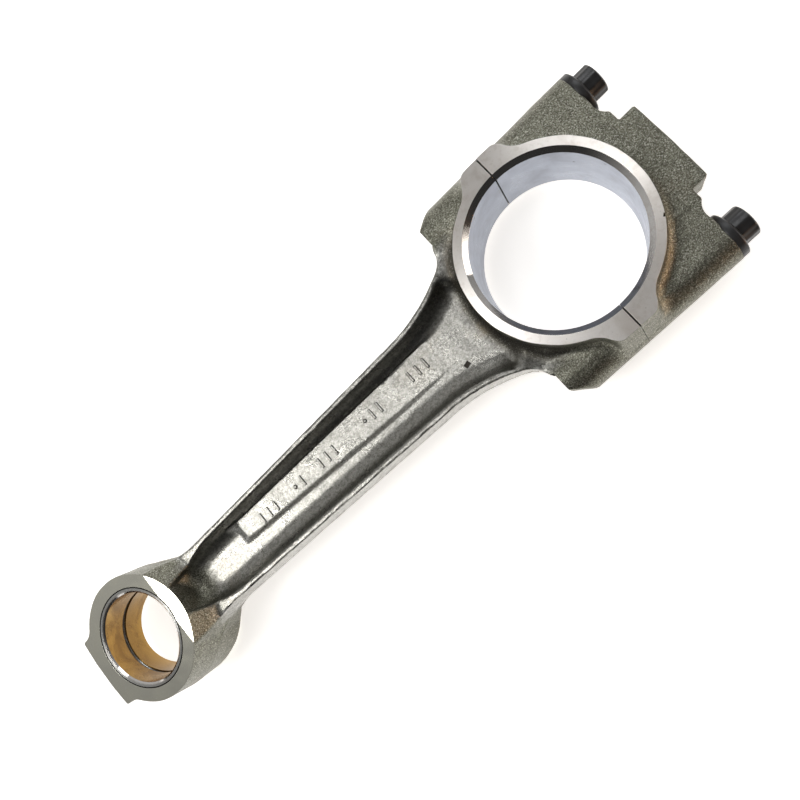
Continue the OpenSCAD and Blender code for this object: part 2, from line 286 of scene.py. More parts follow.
@dataclass(frozen=True)
class SurfaceNet:
    """Even quads on the surface where a distance field is zero.

    Attributes:
        shape: The distance field, in millimetres.
        xs: Grid places along X, in millimetres.
        ys: Grid places along Y.
        zs: Grid places along Z.
        passes: How many times the net is evened out and pulled back onto the surface.
    """

    shape: Field
    xs: Array
    ys: Array
    zs: Array
    passes: int = 4

    def build(self) -> tuple[Array, Array]:
        """Makes the net.

        Returns:
            The vertices in millimetres and the quads.
        """
        grid = self.shape(*np.meshgrid(self.xs, self.ys, self.zs, indexing="ij"))
        self._settle(grid)
        inside = grid < 0
        corners = [(i, j, k) for i in (0, 1) for j in (0, 1) for k in (0, 1)]
        shape = tuple(n - 1 for n in inside.shape)
        total = np.zeros(shape, np.int8)
        for i, j, k in corners:
            total += inside[i : i + shape[0], j : j + shape[1], k : k + shape[2]]
        cells = np.argwhere((total > 0) & (total < 8))
        index = np.full(shape, -1, np.int64)
        index[tuple(cells.T)] = np.arange(len(cells))
        points = self._crossings(grid, cells, corners)
        quads = self._quads(inside, index)
        used, flat = np.unique(quads, return_inverse=True)
        points, quads = points[used], flat.reshape(-1, 4)
        for _ in range(self.passes):
            points = self._evened(points, quads)
        return points, quads

    @staticmethod
    def _settle(grid: Array) -> None:
        """Fills each grid face whose corners are inside crosswise, so that the skin is closed.

        Args:
            grid: Distances at the grid points, which are changed in place.
        """
        just_inside = -0.02
        unsettled = True
        while unsettled:
            unsettled = False
            for first, second in ((0, 1), (0, 2), (1, 2)):
                view = np.moveaxis(grid, (first, second), (0, 1))
                a, b = view[:-1, :-1] < 0, view[1:, :-1] < 0
                c, d = view[:-1, 1:] < 0, view[1:, 1:] < 0
                crossed = (a == d) & (b == c) & (a != b)
                if crossed.any():
                    unsettled = True
                    view[:-1, :-1][crossed & ~a] = just_inside
                    view[1:, :-1][crossed & a] = just_inside

    def _crossings(self, grid: Array, cells: Array, corners: list[tuple[int, int, int]]) -> Array:
        """The middle of the edge crossings in each cell.

        Args:
            grid: Distances at the grid points.
            cells: Indices of the cells that the surface runs through.
            corners: Offsets of a cell's eight corners.

        Returns:
            One point for each cell.
        """
        total = np.zeros((len(cells), 3))
        count = np.zeros(len(cells))
        places = (self.xs, self.ys, self.zs)
        for start in corners:
            for axis in range(3):
                if start[axis]:
                    continue
                end = tuple(v + (a == axis) for a, v in enumerate(start))
                first, last = cells + start, cells + end
                d0, d1 = grid[tuple(first.T)], grid[tuple(last.T)]
                cut = (d0 < 0) != (d1 < 0)
                share = np.where(cut, d0 / np.where(cut, d0 - d1, 1), 0)
                p0 = np.stack([places[a][first[:, a]] for a in range(3)], 1)
                p1 = np.stack([places[a][last[:, a]] for a in range(3)], 1)
                total += np.where(cut[:, None], p0 + (p1 - p0) * share[:, None], 0)
                count += cut
        return total / np.maximum(count, 1)[:, None]

    @staticmethod
    def _quads(inside: Array, index: Array) -> Array:
        """One quad for each grid edge that the surface crosses.

        Args:
            inside: Which grid points are inside the shape.
            index: The vertex number of each cell, or -1.

        Returns:
            The quads, wound so that their normals point out of the shape.
        """
        found = []
        for axis in range(3):
            second, third = (axis + 1) % 3, (axis + 2) % 3
            low = np.moveaxis(inside, (axis, second, third), (0, 1, 2))
            cell = np.moveaxis(index, (axis, second, third), (0, 1, 2))
            crossing = low[:-1, 1:-1, 1:-1] != low[1:, 1:-1, 1:-1]
            i, j, k = np.nonzero(crossing)
            loop = np.stack(
                [cell[i, j, k], cell[i, j + 1, k], cell[i, j + 1, k + 1], cell[i, j, k + 1]], 1
            )
            upright = low[i, j + 1, k + 1]
            found.append(np.where(upright[:, None], loop, loop[:, ::-1]))
        return np.concatenate(found)

    def gradient(self, points: Array) -> tuple[Array, Array]:
        """Distance and unit normal at some points.

        Args:
            points: Where to measure, in millimetres.

        Returns:
            The distances divided by the field's slope, and the unit normals.
        """
        step, flattest = 0.02, 0.2
        here = self.shape(*points.T)
        slope = np.empty_like(points)
        for axis in range(3):
            shift = np.zeros(3)
            shift[axis] = step
            high, low = self.shape(*(points + shift).T), self.shape(*(points - shift).T)
            slope[:, axis] = (high - low) / (2 * step)
        length = np.maximum(np.linalg.norm(slope, axis=1), flattest)
        return here / length, slope / length[:, None]

    def _evened(self, points: Array, quads: Array) -> Array:
        """Moves each vertex towards the middle of its neighbours, then back onto the surface.

        Args:
            points: The vertices.
            quads: The quads that join them.

        Returns:
            The moved vertices.
        """
        stride, farthest = 0.6, 0.8
        total = np.zeros_like(points)
        for step in (1, 3):
            for corner in range(4):
                here, there = quads[:, corner], quads[:, (corner + step) % 4]
                for axis in range(3):
                    total[:, axis] += np.bincount(here, points[there, axis], len(points))
        count = np.bincount(quads.ravel(), minlength=len(points))[:, None] * 2
        _, normal = self.gradient(points)
        shift = total / count - points
        shift -= (shift * normal).sum(1)[:, None] * normal
        points = points + stride * shift
        for _ in range(2):
            distance, normal = self.gradient(points)
            points = points - np.clip(distance, -farthest, farthest)[:, None] * normal
        return points


def grid_line(stops: list[tuple[float, float]], end: float) -> Array:
    """Grid places whose spacing changes along the way.

    Args:
        stops: Where each stretch starts and the spacing in it.
        end: Where the last stretch ends.

    Returns:
        The places.
    """
    places = [np.array([stops[0][0]])]
    for (start, spacing), (stop, _) in zip(stops, stops[1:] + [(end, 0.0)]):
        count = max(2, round((stop - start) / spacing))
        places.append(np.linspace(start, stop, count + 1)[1:])
    return np.concatenate(places)


def mirrored_line(stops: list[tuple[float, float]], end: float) -> Array:
    """Grid places from -end to end, the same on both sides of zero, which is between two of them."""
    half = grid_line([(stops[0][1] / 2, stops[0][1])] + stops[1:], end)
    return np.concatenate([-half[::-1], half])


def make_mesh(name: str, points: Array, faces: Array | list) -> Thing:
    """Makes an object from points in millimetres.

    Args:
        name: Name of the object.
        points: Vertices in millimetres.
        faces: Vertex numbers of each face.

    Returns:
        The object, linked to the scene.
    """
    mesh = bpy.data.meshes.new(name)
    mesh.from_pydata((np.asarray(points) * MM).tolist(), [], [list(map(int, f)) for f in faces])
    mesh.validate()
    thing = bpy.data.objects.new(name, mesh)
    bpy.context.scene.collection.objects.link(thing)
    return thing


# ---------------- turned shapes and cutters


def add_ring(points: list[Point], along: float, radii: Array) -> list[int]:
    """Adds a ring of points round the X axis, or one point where the ring closes on the axis.

    Args:
        points: The points so far, which grow.
        along: Place of the ring along the axis.
        radii: Its radius at each of its even steps.

    Returns:
        The numbers of its points.
    """
    first = len(points)
    if radii.max() < ON_AXIS:
        points.append((along, 0.0, 0.0))
        return [first]
    turn = np.arange(len(radii)) * 2 * math.pi / len(radii)
    points += [(along, r * math.cos(t), r * math.sin(t)) for r, t in zip(radii, turn)]
    return list(range(first, len(points)))


def joined(rings: list[list[int]], segments: int, hollow: bool = False) -> list[list[int]]:
    """Faces from each ring of points to the next.

    Args:
        rings: The numbers of each ring's points; a closed end has only one.
        segments: Number of steps round a ring.
        hollow: Whether the last ring is joined to the first.

    Returns:
        The faces.
    """
    faces = []
    for first, last in zip(rings, rings[1:] + (rings[:1] if hollow else [])):
        for i in range(segments):
            j = (i + 1) % segments
            loop = [first[i % len(first)], last[i % len(last)], last[j % len(last)], first[j % len(first)]]
            faces.append(list(dict.fromkeys(loop)))
    return faces


@dataclass(frozen=True)
class Turned:
    """A closed shape turned round an axis.

    Attributes:
        profile: Points (along, radius) from one end of the axis to the other, in millimetres.
        axis: Direction of the axis.
        origin: Where the profile's zero lies.
        segments: Number of steps round the axis.
    """

    profile: Profile
    axis: Axis = Axis.Z
    origin: Point = (0.0, 0.0, 0.0)
    segments: int = 192

    def build(self, name: str = "cutter") -> Thing:
        """Makes the closed mesh. A profile that ends away from the axis is closed into a ring.

        Args:
            name: Name of the object.

        Returns:
            The object.
        """
        points: list[Point] = []
        even = np.ones(self.segments)
        rings = [add_ring(points, along, radius * even) for along, radius in self.profile]
        faces = joined(rings, self.segments, hollow=self.profile[0][1] > 0)
        placed = np.array(points)
        if self.axis is Axis.Z:
            placed = placed[:, [1, 2, 0]]
        return make_mesh(name, placed + np.array(self.origin), faces)


def box_cutter(low: Point, high: Point, turn: Matrix | None = None, pivot: Point = (0, 0, 0)) -> Thing:
    """A closed box.

    Args:
        low: Its lowest corner in millimetres.
        high: Its highest corner in millimetres.
        turn: A rotation about the pivot, if it isn't square to the axes.
        pivot: Where the box's own zero lies, in millimetres.

    Returns:
        The object.
    """
    (x0, y0, z0), (x1, y1, z1) = low, high
    points = np.array([(x, y, z) for x in (x0, x1) for y in (y0, y1) for z in (z0, z1)], float)
    faces = [(0, 1, 3, 2), (4, 6, 7, 5), (0, 4, 5, 1), (2, 3, 7, 6), (0, 2, 6, 4), (1, 5, 7, 3)]
    if turn is not None:
        points = points @ np.array(turn.to_3x3()).T
    return make_mesh("cutter", points + np.array(pivot, float), faces)


def turned_by(degrees: float, axis: str) -> Matrix:
    """A rotation about one of the rod's axes."""
    return Matrix.Rotation(math.radians(degrees), 4, axis)


def drum(start: float, end: float, radius: float) -> Profile:
    """The profile of a plain cylinder."""
    return [(start, 0), (start, radius), (end, radius), (end, 0)]


def face_cutter(half: float, face: Face, start: float, end: float, half_width: float) -> Thing:
    """The box that faces metal off at a height, on one side of the mid plane.

    Args:
        half: Height of the finished face.
        face: The side that it lies on.
        start: Where the cut starts along X.
        end: Where it ends.
        half_width: Half its width.

    Returns:
        The object.
    """
    low, high = sorted((half * face.value, (half + OVER) * face.value))
    return box_cutter((start, -half_width, low), (end, half_width, high))


def wedge_cutter(sizes: RodSizes, face: Face) -> Thing:
    """The slanting box that cuts one of the small end's wedge faces.

    Args:
        sizes: The rod's sizes.
        face: The side that it lies on.

    Returns:
        The object.
    """
    length, half_width, height = 90.0, 60.0, 30.0
    low, high = sorted((0.0, height * face.value))
    pivot = (sizes.crease_x, 0, sizes.eye_half * face.value)
    turn = turned_by(sizes.wedge_degrees * face.value, "Y")
    return box_cutter((0, -half_width, low), (length, half_width, high), turn, pivot)


@dataclass(frozen=True)
class EdgeRing:
    """A cutter ring that follows a bore's edge on the small end's slanting face.

    Attributes:
        sizes: The rod's sizes.
        profile: Points (radius, height above the face), in millimetres, anticlockwise.
        side: The face whose edge it follows.
        segments: Number of steps round the bore.
    """

    sizes: RodSizes
    profile: Profile
    side: Face
    segments: int = 192

    def build(self) -> Thing:
        """Makes the closed ring.

        Returns:
            The object.
        """
        turn = np.arange(self.segments) * 2 * math.pi / self.segments
        points = []
        for radius, height in self.profile:
            x = self.sizes.centre_distance + radius * np.cos(turn)
            y = radius * np.sin(turn)
            z = (self.sizes.wedge_height(x) + height) * self.side.value
            points.append(np.stack([x, y, z], 1))
        count, faces = len(self.profile), []
        for k in range(count):
            for i in range(self.segments):
                j = (i + 1) % self.segments
                low, high = k * self.segments, ((k + 1) % count) * self.segments
                quad = [low + i, high + i, high + j, low + j]
                faces.append(quad if self.side is Face.FRONT else quad[::-1])
        return make_mesh("cutter", np.concatenate(points), faces)


def outward(thing: Thing) -> Thing:
    """Turns a closed mesh's faces so that they all point out of it.

    Args:
        thing: The object.

    Returns:
        The same object.
    """
    work = bmesh.new()
    work.from_mesh(thing.data)
    bmesh.ops.recalc_face_normals(work, faces=work.faces)
    work.to_mesh(thing.data)
    work.free()
    return thing


class Tool(Enum):
    """What a tool shape does to a piece."""

    CUT = "DIFFERENCE"
    RAISE = "UNION"


def cut(piece: Thing, cutter: Thing, finish: Finish, tool: Tool = Tool.CUT) -> None:
    """Cuts a machined feature into a piece, or raises one on it, with a finish of its own.

    Args:
        piece: What is worked on.
        cutter: The closed tool shape, which is used up.
        finish: The finish of the new faces.
        tool: Whether the tool shape is cut away or raised.
    """
    least_left = 0.2
    outward(cutter)
    cutter.data.materials.clear()
    cutter.data.materials.append(finish)
    if finish.name not in piece.data.materials:
        piece.data.materials.append(finish)
    before = len(piece.data.polygons)
    modifier = piece.modifiers.new("cut", "BOOLEAN")
    modifier.operation = tool.value
    modifier.object = cutter
    modifier.material_mode = "TRANSFER"
    result = None
    for solver in ("MANIFOLD", "EXACT"):
        modifier.solver = solver
        found = bpy.data.meshes.new_from_object(
            piece.evaluated_get(bpy.context.evaluated_depsgraph_get())
        )
        if before * least_left < len(found.polygons) != before:
            result = found
            break
        LOG.warning("%s: the %s solver changed nothing", piece.name, solver)
        bpy.data.meshes.remove(found)
    piece.modifiers.clear()
    if result is not None:
        old, piece.data = piece.data, result
        result.name = piece.name
        bpy.data.meshes.remove(old)
    spent = cutter.data
    bpy.data.objects.remove(cutter)
    bpy.data.meshes.remove(spent)


def tidy_mesh(piece: Thing, sharp_degrees: float = 32.0) -> None:
    """Merges coincident vertices, shades the mesh smooth and keeps its machined edges sharp.

    Args:
        piece: The object.
        sharp_degrees: Edges between faces at a larger angle stay sharp.
    """
    weld = 0.002 * MM
    work = bmesh.new()
    work.from_mesh(piece.data)
    bmesh.ops.remove_doubles(work, verts=work.verts, dist=weld)
    bmesh.ops.dissolve_degenerate(work, edges=work.edges, dist=weld)
    work.to_mesh(piece.data)
    work.free()
    piece.data.shade_smooth()
    piece.data.set_sharp_from_angle(angle=math.radians(sharp_degrees))


# ---------------- node helpers


class Nodes:
    """A short way to build a material's node tree."""

    def __init__(self, name: str) -> None:
        """Starts an empty material.

        Args:
            name: Name of the material.
        """
        self.material = bpy.data.materials.new(name)
        self.material.use_nodes = True
        self.tree = self.material.node_tree
        self.tree.nodes.clear()
        self.output = self.tree.nodes.new("ShaderNodeOutputMaterial")
        self.shader = self.tree.nodes.new("ShaderNodeBsdfPrincipled")
        self.link(self.shader.outputs[0], self.output.inputs["Surface"])

    def link(self, source: Socket, target: Socket) -> None:
        """Joins two sockets."""
        self.tree.links.new(source, target)

    def add(self, kind: str, inputs: dict | None = None, **settings: object) -> bpy.types.Node:
        """Adds a node.

        Args:
            kind: The node's type.
            inputs: Values or sockets for its inputs, by name or number.
            settings: Values for its properties.

        Returns:
            The node.
        """
        node = self.tree.nodes.new(kind)
        for key, value in settings.items():
            setattr(node, key, value)
        for key, value in (inputs or {}).items():
            if isinstance(value, Socket):
                self.link(value, node.inputs[key])
            else:
                node.inputs[key].default_value = value
        return node

    def place(self) -> Socket:
        """The point on the piece, in metres in the rod's frame."""
        return self.add("ShaderNodeTexCoord").outputs["Object"]

    def parts(self, vector: Socket) -> list[Socket]:
        """The three parts of a vector or colour."""
        return list(self.add("ShaderNodeSeparateXYZ", {0: vector}).outputs)

    def soft_edge(self, radius_mm: float) -> Socket:
        """The surface's normal, rounded at its edges."""
        return self.add("ShaderNodeBevel", {"Radius": radius_mm * MM}, samples=3).outputs[0]

    def scaled(self, scale: Point, shift: Point = (0, 0, 0)) -> Socket:
        """The point on the piece, scaled along each axis and then shifted."""
        node = self.add("ShaderNodeMapping", {"Vector": self.place(), "Scale": scale, "Location": shift})
        return node.outputs["Vector"]

    def noise(
        self,
        scale: float,
        detail: float = 4,
        rough: float = 0.55,
        vector: Socket | None = None,
        distort: float = 0.0,
    ) -> Socket:
        """Fractal noise.

        Args:
            scale: Cells per metre.
            detail: Number of octaves.
            rough: Strength of the finer octaves.
            vector: Where it is measured; the point on the piece if left out.
            distort: How much it is warped.

        Returns:
            The socket with the noise, about 0 to 1.
        """
        inputs = {
            "Vector": vector or self.place(),
            "Scale": scale,
            "Detail": detail,
            "Roughness": rough,
            "Distortion": distort,
        }
        return self.add("ShaderNodeTexNoise", inputs).outputs["Fac"]

    def math(self, kind: str, *values: Value) -> Socket:
        """The result of a math operation on numbers or sockets."""
        return self.add("ShaderNodeMath", dict(enumerate(values)), operation=kind).outputs[0]

    def band(self, value: Socket, low: float, high: float, start: float = 0.0, end: float = 1.0) -> Socket:
        """Maps a value from the range low to high onto the range start to end, clamped."""
        inputs = {"Value": value, "From Min": low, "From Max": high, "To Min": start, "To Max": end}
        return self.add("ShaderNodeMapRange", inputs, interpolation_type="SMOOTHSTEP").outputs[0]

    def mix(self, share: Value, first: Socket | Colour, last: Socket | Colour) -> Socket:
        """Mixes two colours.

        Args:
            share: How much of the last colour shows.
            first: A colour or socket.
            last: A colour or socket.

        Returns:
            The mixed colour.
        """
        node = self.add("ShaderNodeMix", data_type="RGBA")
        for key, value in ((0, share), (6, first), (7, last)):
            if isinstance(value, Socket):
                self.link(value, node.inputs[key])
            else:
                node.inputs[key].default_value = value if key == 0 else (*value, 1.0)
        return node.outputs[2]

    def bump(
        self, height: Socket, depth_mm: float, strength: float = 1.0, normal: Socket | None = None
    ) -> Socket:
        """A bump node.

        Args:
            height: Relief from 0 to 1.
            depth_mm: Depth of the relief in millimetres.
            strength: Share of the relief that shows.
            normal: The normal that it adds to.

        Returns:
            The bumped normal.
        """
        inputs = {"Height": height, "Distance": depth_mm * MM, "Strength": strength}
        if normal is not None:
            inputs["Normal"] = normal
        return self.add("ShaderNodeBump", inputs).outputs["Normal"]

    def finish(self, colour: Socket, roughness: Socket, normal: Socket, metallic: float = 1.0) -> Finish:
        """Joins the shader's inputs.

        Args:
            colour: Base colour socket.
            roughness: Roughness socket.
            normal: Normal socket.
            metallic: How metallic the surface is.

        Returns:
            The material.
        """
        self.shader.inputs["Metallic"].default_value = metallic
        self.link(colour, self.shader.inputs["Base Color"])
        self.link(roughness, self.shader.inputs["Roughness"])
        self.link(normal, self.shader.inputs["Normal"])
        return self.material


# ---------------- finishes


@dataclass(frozen=True)
class ForgedSkinFinish:
    """Shot-peened forging skin: olive grey with pits and thin scale, barer along the beam; painted shade
    darkens its fillets and a painted reflection lightens the beam's sides.

    Attributes:
        sizes: The rod's sizes.
        name: Name of the material.
        dark: Colour of the matt skin on the big end and the eye.
        bright: Colour of the barer metal in the channels and on the ribs.
        brown: Colour of the thin scale stains.
        side: Colour of the painted reflection on the beam's outer sides, lighter as if they mirrored the
            white floor.
        painted_fillet_shade: Colour of the painted shade in the fillets at the feet of the ring and the
            eye.
        pit: Colour inside the pits.
        rim: Colour of the rubbed rims between them.
        grain: Cells per metre of the peened grain.
        big_foot_shade: Width in millimetres of the painted shade in the fillet at the ring's foot, on the
            beam.
        edge_foot_shade: Width in millimetres of a narrower band of painted shade at the ring's foot, all
            the way round but on the +Y side.
        eye_foot_shade: Width in millimetres of the painted shade in the fillet at the eye's foot.
        bright_from: Where the barer stretch of the beam starts along X, in metres.
        bright_to: Where it ends.
    """

    sizes: RodSizes
    name: str = "forged_skin"
    dark: Colour = (0.215, 0.214, 0.170)
    bright: Colour = (0.31, 0.305, 0.285)
    side: Colour = (0.53, 0.525, 0.50)
    painted_fillet_shade: Colour = (0.075, 0.070, 0.058)
    brown: Colour = (0.25, 0.19, 0.12)
    pit: Colour = (0.055, 0.052, 0.040)
    rim: Colour = (0.62, 0.61, 0.54)
    grain: float = 1500.0
    big_foot_shade: float = 9.5
    edge_foot_shade: float = 3.4
    eye_foot_shade: float = 11.0
    bright_from: float = 0.026
    bright_to: float = 0.262

    def _outer_side(self, n: Nodes, x: Socket, y: Socket) -> Socket:
        """Finds the beam's outer sides, which get the painted reflection.

        Args:
            n: The material's nodes.
            x: Place along X, in metres.
            y: Place along Y, in metres.

        Returns:
            1 on the outer sides and 0 elsewhere.
        """
        s = self.sizes
        radius = s.shoulder_flare_r * MM
        back = n.math("MAXIMUM", n.math("SUBTRACT", s.flare_start_x * MM, x), 0.0)
        back = n.math("MINIMUM", back, radius * 0.9)
        chord = n.math("SQRT", n.math("SUBTRACT", radius**2, n.math("MULTIPLY", back, back)))
        flare = n.math("SUBTRACT", radius, chord)
        slope = (s.beam_half_big - s.beam_half_small) / (s.eye_flare_x - s.flare_start_x)
        along = n.math("MAXIMUM", n.math("SUBTRACT", x, s.flare_start_x * MM), 0.0)
        straight = n.math("SUBTRACT", s.beam_half_big * MM, n.math("MULTIPLY", along, slope))
        over = n.math("SUBTRACT", n.math("ABSOLUTE", y), n.math("ADD", straight, flare))
        return n.band(over, -0.5 * MM, 0.1 * MM)

    def _foot(self, n: Nodes, x: Socket, y: Socket, centre: float, radius: float, width: float) -> Socket:
        """Finds the fillet round the foot of a boss, where the painted shade goes.

        Args:
            n: The material's nodes.
            x: Place along X, in metres.
            y: Place along Y, in metres.
            centre: Place of the boss's axis along X, in millimetres.
            radius: Radius of the boss in millimetres.
            width: Width of the fillet in millimetres.

        Returns:
            1 at the boss's wall, and 0 outside the fillet.
        """
        off = n.math("SUBTRACT", x, centre * MM)
        squares = n.math("ADD", n.math("MULTIPLY", off, off), n.math("MULTIPLY", y, y))
        reach = n.math("SQRT", squares)
        return n.band(reach, (radius + width * 0.5) * MM, (radius + width) * MM, 1.0, 0.0)

    def build(self) -> Finish:
        """Makes the material.

        Returns:
            The material.
        """
        n = Nodes(self.name)
        x, y, _ = n.parts(n.place())
        s = self.sizes
        cloud = n.noise(70.0, 5, 0.6)
        edge_x = n.math("ADD", x, n.band(cloud, 0.3, 0.7, -0.005, 0.005))
        beam = n.math(
            "MULTIPLY",
            n.band(edge_x, self.bright_from - 0.014, self.bright_from + 0.014),
            n.band(edge_x, self.bright_to - 0.008, self.bright_to + 0.008, 1.0, 0.0),
        )
        beam = n.math("MULTIPLY", beam, n.band(n.math("ABSOLUTE", y), 0.036, 0.046, 1.0, 0.0))
        stain = n.noise(34.0, 4, 0.6, distort=0.6)
        grain = n.noise(self.grain, 4, 0.62)
        coarse = n.noise(self.grain * 0.4, 3, 0.6)
        colour = n.mix(beam, self.dark, self.bright)
        # Painted reflection: the beam's outer sides are coloured light, as if they mirrored the white
        # floor.
        colour = n.mix(n.math("MULTIPLY", self._outer_side(n, x, y), beam), colour, self.side)
        # Painted shade: the fillets at the feet of the ring and the eye are darkened as if in shadow, on
        # the beam's barer stretch.
        big_foot_shade = self._foot(n, x, y, 0.0, s.ring_r, self.big_foot_shade)
        big_foot_shade = n.math("MULTIPLY", big_foot_shade, n.band(x, 0.012, 0.030))
        eye_foot_shade = self._foot(n, x, y, s.centre_distance, s.eye_r, self.eye_foot_shade)
        eye_foot_shade = n.math("MULTIPLY", eye_foot_shade, n.band(n.math("ABSOLUTE", y), 0.012, 0.018, 1.0, 0.0))
        foot = n.math("MULTIPLY", n.math("MAXIMUM", big_foot_shade, eye_foot_shade), beam)
        colour = n.mix(n.math("MULTIPLY", foot, 0.92), colour, self.painted_fillet_shade)
        # Painted shade: a narrow dark band at the ring's foot, all the way round but on the +Y side.
        edge_foot_shade = self._foot(n, x, y, 0.0, s.ring_r, self.edge_foot_shade)
        edge_foot_shade = n.math("MULTIPLY", edge_foot_shade, n.band(y, 0.012, 0.030, 0.55, 0.0))
        colour = n.mix(edge_foot_shade, colour, self.painted_fillet_shade)
        colour = n.mix(n.band(coarse, 0.36, 0.60, 0.42, 0.0), colour, self.pit)
        colour = n.mix(n.band(stain, 0.58, 0.76, 0.0, 0.25), colour, self.brown)
        plain = n.math("SUBTRACT", 1.0, n.math("MULTIPLY", beam, 0.55))
        colour = n.mix(n.math("MULTIPLY", n.band(grain, 0.38, 0.52, 0.75, 0.0), plain), colour, self.pit)
        colour = n.mix(n.math("MULTIPLY", n.band(grain, 0.55, 0.64, 0.0, 0.62), plain), colour, self.rim)
        rough = n.math("SUBTRACT", n.band(cloud, 0.3, 0.7, 0.37, 0.43), n.math("MULTIPLY", beam, 0.115))
        rough = n.math("ADD", rough, n.math("MULTIPLY", foot, 0.22))
        edge = n.soft_edge(0.35)
        calm = n.math("SUBTRACT", 1.0, n.math("MULTIPLY", beam, 0.62))
        normal = n.bump(n.math("MULTIPLY", coarse, calm), 0.24, 0.8, edge)
        normal = n.bump(n.math("MULTIPLY", grain, calm), 0.22, 1.0, normal)
        return n.finish(colour, rough, normal)


@dataclass(frozen=True)
class TurnedFinish:
    """A face or bore turned on a lathe: fine rings about an axis along Z.

    Attributes:
        name: Name of the material.
        centre_mm: Place of the axis along X, in millimetres.
        colour: Colour of the metal.
        tint: Colour of faint stains.
        dots: Colour of its finest dark specks.
        pit: Colour of its rare small pits.
        rough_low: Roughness where it is brightest.
        rough_high: Roughness where it is dullest.
        pitch_mm: Distance between the rings.
        depth_mm: Depth of the rings.
        brushed: How far its gloss is drawn out across the rings.
        along_z: True on a bore's wall, where the rings are stacked along Z.
    """

    name: str
    centre_mm: float = 0.0
    colour: Colour = (0.70, 0.69, 0.68)
    tint: Colour = (0.50, 0.46, 0.42)
    dots: Colour = (0.12, 0.11, 0.10)
    pit: Colour = (0.05, 0.045, 0.04)
    rough_low: float = 0.16
    rough_high: float = 0.30
    pitch_mm: float = 0.35
    depth_mm: float = 0.012
    brushed: float = 0.9
    along_z: bool = False

    def build(self) -> Finish:
        """Makes the material.

        Returns:
            The material.
        """
        n = Nodes(self.name)
        x, y, z = n.parts(n.scaled((1, 1, 1), (-self.centre_mm * MM, 0, 0)))
        radius = n.math("SQRT", n.math("ADD", n.math("MULTIPLY", x, x), n.math("MULTIPLY", y, y)))
        across = z if self.along_z else radius
        lines = n.add(
            "ShaderNodeTexNoise",
            {"W": across, "Scale": 1 / (self.pitch_mm * MM), "Detail": 3.0, "Roughness": 0.6},
            noise_dimensions="1D",
        ).outputs["Fac"]
        way = n.add("ShaderNodeCombineXYZ", {"Z": 1.0} if self.along_z else {"X": x, "Y": y}).outputs[0]
        grain = n.add("ShaderNodeVectorMath", {0: way}, operation="NORMALIZE").outputs[0]
        n.link(grain, n.shader.inputs["Tangent"])
        n.shader.inputs["Anisotropic"].default_value = self.brushed
        stain = n.noise(60.0, 5, 0.6, distort=0.4)
        speck = n.noise(700.0, 3, 0.6)
        mottle = n.noise(320.0, 4, 0.65)
        colour = n.mix(n.band(stain, 0.48, 0.72, 0.0, 0.55), self.colour, self.tint)
        colour = n.mix(n.band(mottle, 0.50, 0.66, 0.0, 0.30), colour, self.tint)
        colour = n.mix(n.band(speck, 0.70, 0.78, 0.0, 0.6), colour, self.dots)
        cell = n.add("ShaderNodeTexVoronoi", {"Vector": n.place(), "Scale": 150.0})
        rare = n.math("GREATER_THAN", n.parts(cell.outputs["Color"])[0], 0.86)
        pits = n.math("MULTIPLY", n.band(cell.outputs["Distance"], 0.05, 0.11, 1.0, 0.0), rare)
        colour = n.mix(pits, colour, self.pit)
        worn = n.math("ADD", n.math("MULTIPLY", stain, 0.6), n.math("MULTIPLY", lines, 0.4))
        rough = n.band(worn, 0.35, 0.65, self.rough_low, self.rough_high)
        edge = n.soft_edge(0.3)
        normal = n.bump(lines, self.depth_mm, 1.0, edge)
        normal = n.bump(speck, 0.01, 0.4, normal)
        return n.finish(colour, rough, normal)


@dataclass(frozen=True)
class GroundFinish:
    """A ground face: a fine satin surface with faint straight lines and small clouds.

    Attributes:
        name: Name of the material.
        colour: Colour of the metal.
        tint: Colour of its clouds.
        rough: Mean roughness.
        line_mm: Distance between the grinding lines.
        depth_mm: Depth of the lines.
    """

    name: str
    colour: Colour = (0.52, 0.51, 0.48)
    tint: Colour = (0.40, 0.39, 0.35)
    rough: float = 0.30
    line_mm: float = 0.3
    depth_mm: float = 0.006

    def build(self) -> Finish:
        """Makes the material.

        Returns:
            The material.
        """
        n = Nodes(self.name)
        scale = 1 / (self.line_mm * MM)
        lines = n.noise(1.0, 3, 0.6, n.scaled((scale * 0.06, scale, scale)))
        cloud = n.noise(90.0, 5, 0.6)
        fine = n.noise(1500.0, 3, 0.6)
        colour = n.mix(n.band(cloud, 0.4, 0.7, 0.0, 0.7), self.colour, self.tint)
        rough = n.band(cloud, 0.3, 0.7, self.rough - 0.04, self.rough + 0.06)
        edge = n.soft_edge(0.3)
        normal = n.bump(lines, self.depth_mm, 1.0, edge)
        normal = n.bump(fine, 0.008, 0.5, normal)
        return n.finish(colour, rough, normal)


